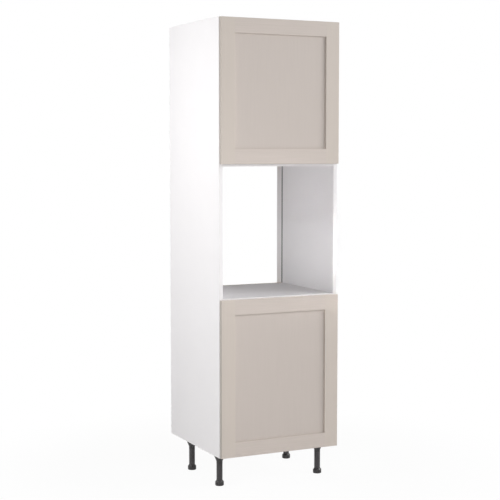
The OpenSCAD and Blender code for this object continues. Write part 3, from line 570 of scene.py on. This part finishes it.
def eased_ends(c0, c1, limits, radii, depth=0.0):
    """Rows near both ends: d from the end, a side of radius r draws in by r - sqrt(r * r - (r - d) ** 2)."""
    r = np.array(radii, float)
    d = r.max() * (1 - np.cos(np.radians(np.linspace(0, 90, 5))))[:, None]
    drawn = (r - np.sqrt(np.maximum(r ** 2 - np.maximum(r - d, 0) ** 2, 0))) * [1, -1, 1, -1]
    first = np.column_stack([c0 + d, np.array(limits) + drawn, depth + 0 * d])
    last = np.column_stack([c1 - d, np.array(limits) + drawn, depth + 0 * d])[::-1]
    return first, last


def board_shell(low, high, order, long_radii, end_radii, flip=1, notch=None, depth=0.0):
    """A board from corner to corner: outline's section with long_radii, carried between eased_ends with
    end_radii. order = (across, across, along)."""
    a, b, c = order
    a0, a1 = (low[a], high[a]) if flip > 0 else (-high[a], -low[a])
    loop = outline(a0, a1, low[b], high[b], long_radii, notch)
    first, last = eased_ends(low[c], high[c], [a0, a1, low[b], high[b]], end_radii, depth)
    return shell(carried(loop, np.vstack([first, last]), order, flip))


print("a board's outline has", len(outline(0, 18, 0, 570, [0.3] * 4)), "corners")

# %% [markdown]
# ## Turned shapes and drilled holes
# A round is a profile of distances and radii, turned about a line. The same
# function makes the drills: a hole is cut with a Boolean, which is applied at
# once, and its drill has a wider mouth, so that each hole gets the small
# countersink that a drilling machine leaves.

# %% Turning and drilling
def turned(profile, origin, direction, columns=32):
    """Point = origin + distance * direction + radius * (cos t * e1 + sin t * e2). profile is the
    distances and the radii, and each radius may have one value a column."""
    distance, radius = profile
    distance, radius = np.array(distance, float)[:, None], np.array(radius, float)
    radius = radius[:, None] if radius.ndim == 1 else radius
    d = np.array(direction, float)
    e1 = np.roll(np.abs(d), 1)
    e2 = np.cross(d, e1)
    t = np.linspace(0, 2 * math.pi, columns, endpoint=False)
    ring = np.cos(t)[:, None] * e1 + np.sin(t)[:, None] * e2
    return np.array(origin, float) + distance[..., None] * d + (radius + 0 * t)[..., None] * ring


def drill(place, direction, across, deep, mouth=0.25):
    """A drill that stands 1 mm proud at place and goes deep millimetres in. Its mouth is wider by the
    countersink."""
    r = across / 2
    profile = [-1, -1, 0, mouth, deep, deep], [0, r + mouth, r + mouth, r, r, 0]
    return shell(turned(profile, place, direction))


def drilled(mesh, drills):
    """The mesh less its drills: one exact Boolean, applied."""
    board = bpy.data.objects.new("board", mesh)
    cutter = bpy.data.objects.new("cutter", mesh_of("cutter", *drills))
    for thing in (board, cutter):
        bpy.context.scene.collection.objects.link(thing)
    cut = board.modifiers.new("holes", "BOOLEAN")
    cut.operation, cut.solver, cut.object = "DIFFERENCE", "EXACT", cutter
    made = bpy.data.meshes.new_from_object(board.evaluated_get(bpy.context.evaluated_depsgraph_get()))
    made.name = mesh.name
    for thing in (board, cutter):
        bpy.data.objects.remove(thing)
    return made


print("a 5 mm drill has", len(drill((0, 0, 0), (0, 0, 1), 5, 10)[0]), "corners")

# %% [markdown]
# ## Which face gets which material
# A board has two or three finishes. Each face's normal and centre tell them
# apart: a pressed skin lies at the board's surface and looks straight out of
# it, the banded edge is right at the front, and all else was cut open.

# %% Faces and their slots
def face_arrays(mesh):
    """Every face's normal, and its centre in millimetres, one row a face."""
    normal, centre = np.empty(len(mesh.polygons) * 3), np.empty(len(mesh.polygons) * 3)
    mesh.polygons.foreach_get("normal", normal)
    mesh.polygons.foreach_get("center", centre)
    return normal.reshape(-1, 3), centre.reshape(-1, 3) / MM


def board_slots(mesh, thin, low, high, band=0):
    """Slot 1 where a saw or drill left the core open, band on the banded front edge, 0 on a pressed skin.
    thin is the axis of the board's thickness."""
    normal, centre = face_arrays(mesh)
    to_skin = np.minimum(centre[:, thin] - low[thin], high[thin] - centre[:, thin])
    skin = (to_skin < 0.45) & (np.abs(normal[:, thin]) > 0.5)
    front = centre[:, 1] < low[1] + 1.0
    return np.where(front, band, np.where(skin, 0, 1))


def set_slots(mesh, slots):
    """Gives each face its slot number."""
    mesh.polygons.foreach_set("material_index", np.array(slots, np.int32))


print("slots: 0 skin, 1 bare core, 2 groove or band")

# %% [markdown]
# ## The side panels
# Each side is one board with a groove for the backs, and with the holes of a
# system carcass in its inner face: rows of shelf-pin holes on a 32 mm pitch, a
# bolt hole and a dowel hole wherever a fixed panel meets it, and two small
# holes for the wall bracket. The right side also takes the hinge plates'
# screws. We work the drilling plan out once, for a face at x = 282.

# %% Drilling plan
FRONT, SHELF_DEPTH, UNDERSIDE, INNER = -275.0, 511.6, 150.0, 282.0
PITCH, SYSTEM_LINE, THICK, JOINT_INSET, CAM_INSET = 32, 37, 18, 60, 34
BRACKET_Y, PIN_HALF, PLATE_HALF, CUP_SCREW_HALF = 280, 8.2, 16, 24
BOLT_HOLE, DOWEL_HOLE, PIN_HOLE, PILOT_HOLE, HOLE_DEEP = 5.2, 8.2, 5, 3.7, 12
ROWS = ("lower", "upper")
# Each fixed panel, and whether its cams are let into the face below (-1) or above (1).
fixed_panels = {"base_panel": -1, "oven_shelf": -1, "bay_top_shelf": 1, "top_panel": 1}
joint_rows = [FRONT + JOINT_INSET, FRONT + SHELF_DEPTH - JOINT_INSET]
dowel_rows = [joint_rows[0] + PITCH, joint_rows[1] - PITCH]
panel_middles = [node_box(node)[0][2] + THICK / 2 for node in fixed_panels]
pin_zs = [node_box(f"{row}_shelf_pins")[0][2] + 3 + k * PITCH for row in ROWS for k in range(-2, 3)]
bracket_zs = [node_box("wall_brackets")[0][2] + rise for rise in (10, 30)]
hinge_zs = {}
for row in ROWS:
    low, high = node_box(row + "_hinge_pins")
    hinge_zs[row] = [low[2] + PIN_HALF, high[2] - PIN_HALF]
side_plan = [(y, z, BOLT_HOLE, HOLE_DEEP) for z in panel_middles for y in joint_rows]
side_plan += [(y, z, DOWEL_HOLE, HOLE_DEEP) for z in panel_middles for y in dowel_rows]
side_plan += [(y, z, PIN_HOLE, 11) for z in pin_zs for y in (FRONT + SYSTEM_LINE, joint_rows[1])]
side_plan += [(BRACKET_Y, z, PILOT_HOLE, 10) for z in bracket_zs]
plate_plan = [(FRONT + SYSTEM_LINE, z + k * PLATE_HALF, BOLT_HOLE, HOLE_DEEP)
              for row in ROWS for z in hinge_zs[row] for k in (-1, 1)]
print("holes in a side:", len(side_plan), "and for hinge plates", len(plate_plan), "at heights", hinge_zs)

# %% Side panels
GROOVE, GROOVE_DEEP = (FRONT + SHELF_DEPTH, FRONT + SHELF_DEPTH + 8.4), 6.0
for node, sign in (("left_side", -1), ("right_side", 1)):
    low, high = node_box(node)
    whole = board_shell(low, high, (0, 1, 2), [0.5, 0.3, 0.3, 0.5], [0.2, 0.2, 0.3, 0.2],
                        flip=-sign, notch=GROOVE, depth=GROOVE_DEEP)
    plan = side_plan + (plate_plan if sign > 0 else [])
    raw = drilled(mesh_of(node + "_board", whole),
                  [drill((sign * INNER, y, z), (sign, 0, 0), across, deep) for y, z, across, deep in plan])
    slots, (x, y) = board_slots(raw, 0, low, high), face_arrays(raw)[1].T[:2]
    # Painted shade: the faces inside the groove take slot 2, the near-black groove shade.
    below_skin = (np.abs(x) > INNER + 0.05) & (np.abs(x) < INNER + GROOVE_DEEP + 0.2)
    slots[below_skin & (y > GROOVE[0] - 0.1) & (y < GROOVE[1] + 0.1)] = 2
    set_slots(raw, slots)
    placed(raw, node, white_melamine, raw_chipboard, groove_painted_shade)
    print(node, "faces:", len(raw.polygons), "of them in the groove:", int((slots == 2).sum()))

# %% [markdown]
# ## Fixed panels, loose shelves and backs
# A fixed panel has two bores at each end for the cam locks, opening on its
# hidden face, with a bore from the end for each bolt and for each dowel. The
# base also has small holes for the screws of the leg sockets, four on a ring
# round each leg.

# %% Fixed panels
LEGS = {f"{end}_{side}": (x, FRONT + y) for side, x in (("left", -256), ("right", 256))
        for end, y in (("front", 97), ("rear", 416))}
SCREW_RING = 25.5
CAM_HOLE, CAM_DEEP, SHANK_HOLE, DOWEL_DEEP = 15.2, 12.5, 8, 20


def round_a_leg(x, y):
    """The four screw places: (x, y) + SCREW_RING * (cos t, sin t) at 45 degrees to the sides."""
    return [(x + SCREW_RING * math.cos(t), y + SCREW_RING * math.sin(t))
            for t in np.radians([45, 135, 225, 315])]


socket_screw_places = [place for leg in LEGS.values() for place in round_a_leg(*leg)]
for node, cam_side in fixed_panels.items():
    low, high = node_box(node)
    middle, face = low[2] + THICK / 2, high[2] if cam_side > 0 else low[2]
    ends = [(sign, y) for sign in (-1, 1) for y in joint_rows]
    drills = [drill((sign * (INNER - CAM_INSET), y, face), (0, 0, -cam_side), CAM_HOLE, CAM_DEEP, 0.3)
              for sign, y in ends]
    drills += [drill((sign * INNER, y, middle), (-sign, 0, 0), SHANK_HOLE, CAM_INSET) for sign, y in ends]
    drills += [drill((sign * INNER, y, middle), (-sign, 0, 0), DOWEL_HOLE, DOWEL_DEEP)
               for sign in (-1, 1) for y in dowel_rows]
    if node == "base_panel":
        drills += [drill((x, y, low[2]), (0, 0, 1), PILOT_HOLE, 10) for x, y in socket_screw_places]
    raw = mesh_of(node + "_board", board_shell(low, high, (1, 2, 0), [0.2, 0.2, 0.4, 0.4], [0.1] * 4))
    raw = drilled(raw, drills)
    # Painted shade: the oven shelf's faces take the pale grey facing, and its front band stays white.
    grey = node == "oven_shelf"
    set_slots(raw, board_slots(raw, 2, low, high, band=2 if grey else 0))
    facings = [shelf_painted_shade, raw_chipboard, white_melamine] if grey else [white_melamine, raw_chipboard]
    placed(raw, node, *facings)
print("fixed panels:", list(fixed_panels))

# %% Loose shelves and backs
for row in ROWS:
    node = row + "_loose_shelf"
    low, high = node_box(node)
    raw = mesh_of(node + "_board", board_shell(low, high, (1, 2, 0), [0.2, 0.2, 0.4, 0.4], [0.15] * 4))
    set_slots(raw, board_slots(raw, 2, low, high))
    placed(raw, node, white_melamine, raw_chipboard)
    node = row + "_back_panel"
    low, high = node_box(node)
    raw = mesh_of(node + "_board", board_shell(low, high, (0, 1, 2), [0.2] * 4, [0.2] * 4))
    set_slots(raw, face_arrays(raw)[0][:, 1] > -0.5)
    placed(raw, node, white_melamine, fibreboard)
print("loose shelves and backs made")

# %% [markdown]
# ## The doors
# A door is two stiles and two rails round a thin panel that floats in a groove.
# The outer edges are rounded to 2 mm and the sight edges are almost sharp. The
# stiles run the whole height. Each rail ends in a tenon that fills a blind slot
# in the stile, and its shoulders are eased by a hair, which leaves the fine
# joint line that paint never quite closes.

# %% Stiles
STILE, TONGUE, RECESS, PANEL_T = 68, 9, 8, 6
SIXTH = STILE / 6
LONG_EDGES = [0.3, 0.3, 2.0, 2.0]
CUP_X, CUP_SCREW_X, CUP_HOLE, CUP_DEEP = 277.5, 271.5, 35.2, 12.7


def stile(door, side):
    """A stile: carried up Z, grooved on its inner side, with a blind slot for each tenon."""
    node = f"{door}_door_{side}_stile"
    low, high = node_box(node)
    flip = 1 if side == "left" else -1
    a0, a1 = (low[0], high[0]) if side == "left" else (-high[0], -low[0])
    limits = [a0, a1, low[1], high[1]]
    loop = outline(*limits, LONG_EDGES, (low[1] + RECESS, low[1] + RECESS + PANEL_T))
    first, last = eased_ends(low[2], high[2], limits, [0.8, 0.15, 2.0, 2.0])
    cuts = [(low[2] + SIXTH, low[2] + 5 * SIXTH), (low[2] + STILE - TONGUE, high[2] - STILE + TONGUE),
            (high[2] - 5 * SIXTH, high[2] - SIXTH)]
    middle = [[c, *limits, depth] for start, end in cuts
              for c, depth in ((start, 0), (start, TONGUE), (end, TONGUE), (end, 0))]
    made = mesh_of(node + "_bar", shell(carried(loop, np.vstack([first, middle, last]), (0, 1, 2), flip)))
    if side == "right":
        bores = [drill((CUP_X, high[1], z), (0, -1, 0), CUP_HOLE, CUP_DEEP, 0.3) for z in hinge_zs[door]]
        bores += [drill((CUP_SCREW_X, high[1], z + k * CUP_SCREW_HALF), (0, -1, 0), PILOT_HOLE, 10)
                  for z in hinge_zs[door] for k in (-1, 1)]
        made = drilled(made, bores)
    return placed(made, node, stile_paint)


print("stiles are", STILE, "mm wide, with a groove", TONGUE, "mm deep and", PANEL_T, "mm wide")

# %% Rails, and the two doors
def rail(door, end):
    """A rail: carried along X, a tenon at each end, its whole inner side grooved."""
    node = f"{door}_door_{end}_rail"
    low, high = node_box(node)
    flip = 1 if end == "bottom" else -1
    a0, a1 = (low[2], high[2]) if end == "bottom" else (-high[2], -low[2])
    limits = [a0, a1, low[1], high[1]]
    loop = outline(*limits, LONG_EDGES, (low[1] + RECESS, low[1] + RECESS + PANEL_T))
    tenon = np.array([a0 + SIXTH, a0 + 5 * SIXTH, low[1] + RECESS, low[1] + RECESS + PANEL_T])
    tip, shoulder, ease = high[0], high[0] - TONGUE + 0.5, 0.4
    first, last = eased_ends(-shoulder, shoulder, limits, [0.15] * 4, TONGUE)
    narrow = [[-tip, *(tenon + np.array([ease, -ease, ease, -ease])), TONGUE], [-tip + ease, *tenon, TONGUE],
              [-shoulder, *tenon, TONGUE]]
    mirrored = [[-row[0], *row[1:]] for row in narrow[::-1]]
    rows = np.vstack([narrow, first, last, mirrored])
    return placed(mesh_of(node + "_bar", shell(carried(loop, rows, (2, 1, 0), flip))), node, rail_paint)


for door in ROWS:
    for side in ("left", "right"):
        stile(door, side)
    for end in ("bottom", "top"):
        rail(door, end)
    node = door + "_door_panel"
    low, high = node_box(node)
    made = mesh_of(node + "_board", board_shell(low, high, (0, 1, 2), [0.3] * 4, [0.3] * 4))
    placed(made, node, panel_paint)
    print(door, "panel in millimetres:", high - low)

# %% [markdown]
# ## Door bumpers
# Clear polyurethane domes, stuck to the back of the door.

# %% Bumpers
BUMPER_R = 4
for door in ROWS:
    node = door + "_door_bumpers"
    low, high = node_box(node)
    rise = np.radians(np.linspace(0, 90, 9))
    dome = ([0, *((high[1] - low[1]) * np.sin(rise))], [0, *(BUMPER_R * np.cos(rise))])
    shells = [shell(turned(dome, ((low[0] + high[0]) / 2, low[1], z), (0, 1, 0), 24))
              for z in (low[2] + BUMPER_R, high[2] - BUMPER_R)]
    placed(mesh_of(node + "_domes", *shells), node, soft_bumper)
print("bumpers made")

# %% [markdown]
# ## The legs
# A leg has a socket screwed under the base, a column that plugs into it, and a
# foot on a coarse thread. All are moulded rounds. The socket narrows from its
# flange to its collar in a cone, which is the dark wedge that the photograph
# shows under the carcass, and a round pocket in the cone lets each screw in.
# The column is plain but for the seam of its two-part mould.

# %% Sockets and columns
SOCKET_TALL, SCREW_POCKET = 47, 8.8


def socket_shell(x, y):
    """Pole to pole: flange, a cone that narrows in a straight line to the collar, and back up the blind
    bore."""
    cone = zip(np.linspace(4, 37, 8), np.linspace(28.4, 14.4, 8))
    rows = [(0, 0), (0, 29.6), (0.4, 30), (3.6, 30), (4, 29.6), *cone, (46.6, 14.4), (SOCKET_TALL, 14),
            (SOCKET_TALL, 13), (46.6, 12.6), (5, 12.6), (5, 0)]
    return shell(turned(np.array(rows, float).T, (x, y, UNDERSIDE), (0, 0, -1), 64))


def pocket_shell(u, v):
    """A screw's pocket up to the flange, with a rounded rim, and its hole through the flange."""
    r = SCREW_POCKET / 2
    profile = [-34, -34, -0.6, 0, 0, 5, 5], [0, r, r, r - 0.6, 1.85, 1.85, 0]
    return shell(turned(profile, (u, v, UNDERSIDE - 4), (0, 0, 1)))


def column_shell(x, y):
    """Spigot, shoulder, column and bore. The seam adds 0.12 * exp(-(sin t / 0.05) ** 2) to the radius."""
    rows = np.array([(41, 0), (41, 11.8), (40.3, 12.5), (0.3, 12.5), (0, 12.6), (0, 13.3), (-0.7, 13.8),
                     (-1.2, 14), (-78.6, 14), (-79, 13.6), (-79, 10.4), (-78.6, 10), (-14, 10), (-14, 0.0)])
    seam = 0.12 * np.exp(-(np.sin(np.linspace(0, 2 * math.pi, 72, endpoint=False)) / 0.05) ** 2)
    radius = rows[:, 1:] + (rows[:, 1:] > 13.9) * seam
    return shell(turned((rows[:, 0], radius), (x, y, UNDERSIDE - SOCKET_TALL), (0, 0, 1), 72))


print("a socket has", len(socket_shell(0, 0)[0]), "corners and a column", len(column_shell(0, 0)[0]))

# %% [markdown]
# ## The feet
# A foot has a round base, twelve grip flutes with round ends, and a threaded
# stem that goes up into the column. Flutes and thread are cut into the radius:
# at an angle t from a flute's middle a cylinder of radius q, centred c from
# the axis, leaves c * cos t - sqrt(q * q - (c * sin t) ** 2).

# %% Feet, and the four legs
FLUTES, FLUTE_R, FLUTE_CENTRE = 12, 3.0, 21.667
GRIP_FROM, GRIP_TO, STEM_FROM, STEM_TO = 3, 24, 25, 83


def thread(distance, angle, pitch, deep):
    """A ridge that winds round: deep * |2 * frac(distance / pitch - angle / full turn) - 1|."""
    return deep * np.abs(2 * ((distance / pitch - angle / (2 * math.pi)) % 1) - 1)


def foot_rows():
    """(height, radius) before flutes and thread are cut: base, grip, shoulder, stem and tip."""
    nose = GRIP_FROM + FLUTE_R * (1 - np.cos(np.radians(np.linspace(10, 90, 6))))
    grip_z = np.append(nose, [9, 13, 17.2])
    stem_z = np.arange(25.0, 82.5, 0.5)
    return np.vstack([
        [(0, 0), (0, 18.3), (0.25, 18.8), (1.5, 19.8), (2.2, 20), (GRIP_FROM, 20)],
        np.column_stack([grip_z, np.full(len(grip_z), 20.0)]),
        [(17.8, 19.7), (18.4, 19.2), (23.4, 15.9), (23.8, 15.6), (24, 15.2), (24, 10.3), (24.4, 9.95)],
        np.column_stack([stem_z, np.full(len(stem_z), 9.95)]),
        [(83.2, 9.3), (84, 8.6), (84, 0)]])


def foot_shell(x, y):
    """Radius = the smaller of body and flute between GRIP_FROM and GRIP_TO, less the thread on the stem.
    A flute's round end: q = FLUTE_R * sqrt(1 - nose ** 2), nose running from 1 at its tip to 0."""
    rows = foot_rows()
    z, body = rows[:, :1], rows[:, 1:]
    t = np.linspace(0, 2 * math.pi, 144, endpoint=False)[None, :]
    nose = np.clip((GRIP_FROM + FLUTE_R - z) / FLUTE_R, 0, 1)
    q = FLUTE_R * np.sqrt(1 - nose ** 2)
    from_flute = t % (2 * math.pi / FLUTES) - math.pi / FLUTES
    inside = q ** 2 - (FLUTE_CENTRE * np.sin(from_flute)) ** 2
    flute = np.where(inside > 0, FLUTE_CENTRE * np.cos(from_flute) - np.sqrt(np.maximum(inside, 0)), 99)
    radius = np.where((z >= GRIP_FROM) & (z <= GRIP_TO), np.minimum(body, flute), body)
    radius = radius - np.where((z >= STEM_FROM) & (z <= STEM_TO), thread(z, t, 4.0, 1.2), 0)
    return shell(turned((z[:, 0], radius), (x, y, 0), (0, 0, 1), 144))


for leg, (x, y) in LEGS.items():
    socket = mesh_of(leg + "_socket_moulding", socket_shell(x, y))
    socket = drilled(socket, [pocket_shell(u, v) for u, v in round_a_leg(x, y)])
    # Painted shade in part: the socket's blacker plastic stands for the shade under the carcass.
    placed(socket, leg + "_socket", black_and_shaded_plastic)
    placed(mesh_of(leg + "_column_moulding", column_shell(x, y)), leg + "_column", leg_plastic)
    placed(mesh_of(leg + "_foot_moulding", foot_shell(x, y)), leg + "_foot", black_and_shaded_plastic)
print("legs:", list(LEGS))

# %% [markdown]
# ## Screws
# Pan heads with a driver's cross. A square grid pressed into a disc gives the
# head: x = u * sqrt(1 - v * v / 2) and y = v * sqrt(1 - u * u / 2). Its lines
# lie where the cross has its edges, so that the cross comes out crisp with few
# faces. The shank is a turned round with a thread wound into its radius.

# %% A screw's head
def screw_head(place, direction, head, tall):
    """Height = tall * (0.5 + 0.5 * sqrt(1 - r * r)), less 0.6 * tall in the cross, on a skirt of three
    rings."""
    half = np.array([0, 0.11, 0.15, 0.3, 0.5, 0.56, 0.72, 0.88, 1.0])
    line = np.concatenate([-half[:0:-1], half])
    u, v = np.meshgrid(line, line, indexing="ij")
    x, y = u * np.sqrt(1 - v * v / 2), v * np.sqrt(1 - u * u / 2)
    slot = np.maximum((abs(u) < 0.12) & (abs(v) < 0.52), (abs(v) < 0.12) & (abs(u) < 0.52))
    height = tall * (0.5 + 0.5 * np.sqrt(np.maximum(1 - x * x - y * y, 0)) - 0.6 * slot)
    place, d = np.array(place, float), np.array(direction, float)
    e1 = np.roll(np.abs(d), 1)
    e2 = np.cross(d, e1)
    grid = place + (head / 2) * (x[..., None] * e1 + y[..., None] * e2) - height[..., None] * d
    n = len(line)
    i, j = np.meshgrid(np.arange(n - 1), np.arange(n - 1), indexing="ij")
    quads = np.stack([i * n + j, (i + 1) * n + j, (i + 1) * n + j + 1, i * n + j + 1], axis=-1).reshape(-1, 4)
    steps = np.arange(n - 1)
    rim_i = np.concatenate([0 * steps, steps, 0 * steps + n - 1, n - 1 - steps])
    rim_j = np.concatenate([steps, 0 * steps + n - 1, n - 1 - steps, 0 * steps])
    round_rim = (head / 2) * (x[rim_i, rim_j][:, None] * e1 + y[rim_i, rim_j][:, None] * e2)
    skirt = np.stack([place + r * round_rim - h * tall * d
                      for r, h in ((1.0, 0.5), (1.0, 0.15), (0.94, 0.0))])
    points, faces = shell(skirt)
    open_top = [face for face in faces if face != list(range(len(rim_i)))]
    return joined([(grid.reshape(-1, 3), quads.tolist()), (points, open_top)])


print("a screw's head has", len(screw_head((0, 0, 0), (0, 0, 1), 6.8, 1.8)[1]), "faces")

# %% Shanks, and all the screws
def screw_shells(place, direction, shank, head, tall, length):
    """The head, and a shank whose thread of pitch 1.6 mm ends in a point."""
    t = np.linspace(0, 2 * math.pi, 12, endpoint=False)[None, :]
    turns = np.arange(1.2, length - 2.0, 0.4)
    distance = np.concatenate([[-0.2, -0.2, 1.0], turns, [length - 1.6, length]])[:, None]
    body = (shank / 2) * np.concatenate([[0, 1, 1], np.ones(len(turns)), [0.8, 0]])[:, None]
    ridge = np.where((distance > 1.1) & (distance < length - 1.8), thread(distance, t, 1.6, 0.16 * shank), 0)
    return [screw_head(place, direction, head, tall),
            shell(turned((distance[:, 0], body - ridge), place, direction, 12))]


CUP_FLANGE_Y, PLATE_FACE_X, ARM_FACE_X, ARM_SCREW_YS = -276, 280, 264, (-248, -226)
screw_sets = {
    "socket_screws": [((x, y, UNDERSIDE - 4), (0, 0, 1), 3.5, 6.8, 1.8, 13) for x, y in socket_screw_places],
    "wall_bracket_screws": [((sign * (INNER - 2), BRACKET_Y, z), (sign, 0, 0), 3.5, 6.8, 1.8, 11)
                            for sign in (-1, 1) for z in bracket_zs]}
for row in ROWS:
    pairs = [(z, k) for z in hinge_zs[row] for k in (-1, 1)]
    screw_sets[row + "_cup_screws"] = [
        ((CUP_SCREW_X, CUP_FLANGE_Y, z + k * CUP_SCREW_HALF), (0, -1, 0), 3.5, 6.8, 1.0, 10)
        for z, k in pairs]
    screw_sets[row + "_plate_screws"] = [
        ((PLATE_FACE_X, FRONT + SYSTEM_LINE, z + k * PLATE_HALF), (1, 0, 0), 5, 8.8, 1.8, 13)
        for z, k in pairs]
    screw_sets[row + "_arm_screws"] = [
        ((ARM_FACE_X, y, z), (1, 0, 0), 4, 7.8, 1.8, 12) for z in hinge_zs[row] for y in ARM_SCREW_YS]
for node, screws in screw_sets.items():
    shells = [part for screw in screws for part in screw_shells(*screw)]
    placed(mesh_of(node + "_set", *shells), node, zinc_screw)
    print(node, len(screws))

# %% [markdown]
# ## Pressed and cast fittings
# Hinge cups, arms and plates, brackets, pins, cams and bolts are small and
# already the right shape in CAD. A camera only misses their softened edges. So
# each is a copy of its node, merged and with its flat faces joined, to which a
# Bevel modifier gives the small radius of pressed or cast metal.

# %% Softened copies
def softened_copy(node, material, width):
    """A copy of the node's mesh, doubles merged and flat faces joined, its edges bevelled by width
    millimetres."""
    mesh = frame["nodes"][node].data.copy()
    mesh.name = node + "_fitting"
    mesh.materials.clear()
    work = bmesh.new()
    work.from_mesh(mesh)
    bmesh.ops.remove_doubles(work, verts=work.verts, dist=1e-6)
    bmesh.ops.dissolve_limit(work, angle_limit=math.radians(1), verts=work.verts, edges=work.edges)
    work.to_mesh(mesh)
    work.free()
    return placed(mesh, node, material, bevel=width)


fittings = {row + "_shelf_pins": (zinc_plate, 0.3) for row in ROWS}
fittings |= {"cam_locks": (cast_zinc, 0.2), "cam_bolts": (zinc_plate, 0.3),
             "wall_brackets": (zinc_plate, 0.3)}
for row in ROWS:
    fittings |= {row + "_hinge_cups": (nickel, 0.2), row + "_hinge_pins": (nickel, 0.25),
                 row + "_hinge_arms": (nickel, 0.25), row + "_hinge_plates": (nickel, 0.3)}
for node, (material, width) in fittings.items():
    softened_copy(node, material, width)
print("fittings:", len(fittings))

# %% Dowels
# Fluted beech: sixteen glue grooves 0.25 mm deep, and both ends chamfered.
DOWEL_X = 263
t = np.linspace(0, 2 * math.pi, 64, endpoint=False)[None, :]
rows = np.array([(0, 0), (0, 3), (1, 4), (29, 4), (30, 3), (30, 0)], float)
flutes = np.where(rows[:, 1:] > 3.9, 0.25 * np.abs(np.cos(8 * t)) ** 3, 0)
pegs = [shell(turned((rows[:, 0], rows[:, 1:] - flutes), (sign * DOWEL_X, y, z), (sign, 0, 0), 64))
        for sign in (-1, 1) for y in dowel_rows for z in panel_middles]
placed(mesh_of("dowels_set", *pegs), "dowels", beech)
print("dowels:", len(pegs))

# %% [markdown]
# ## Size
# The dressed unit must fill the same box as the CAD model. Its box is printed
# in millimetres.

# %% Size
low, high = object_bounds()
print("dressed box in millimetres:", [round((h - l) / MM, 1) for l, h in zip(low, high)])
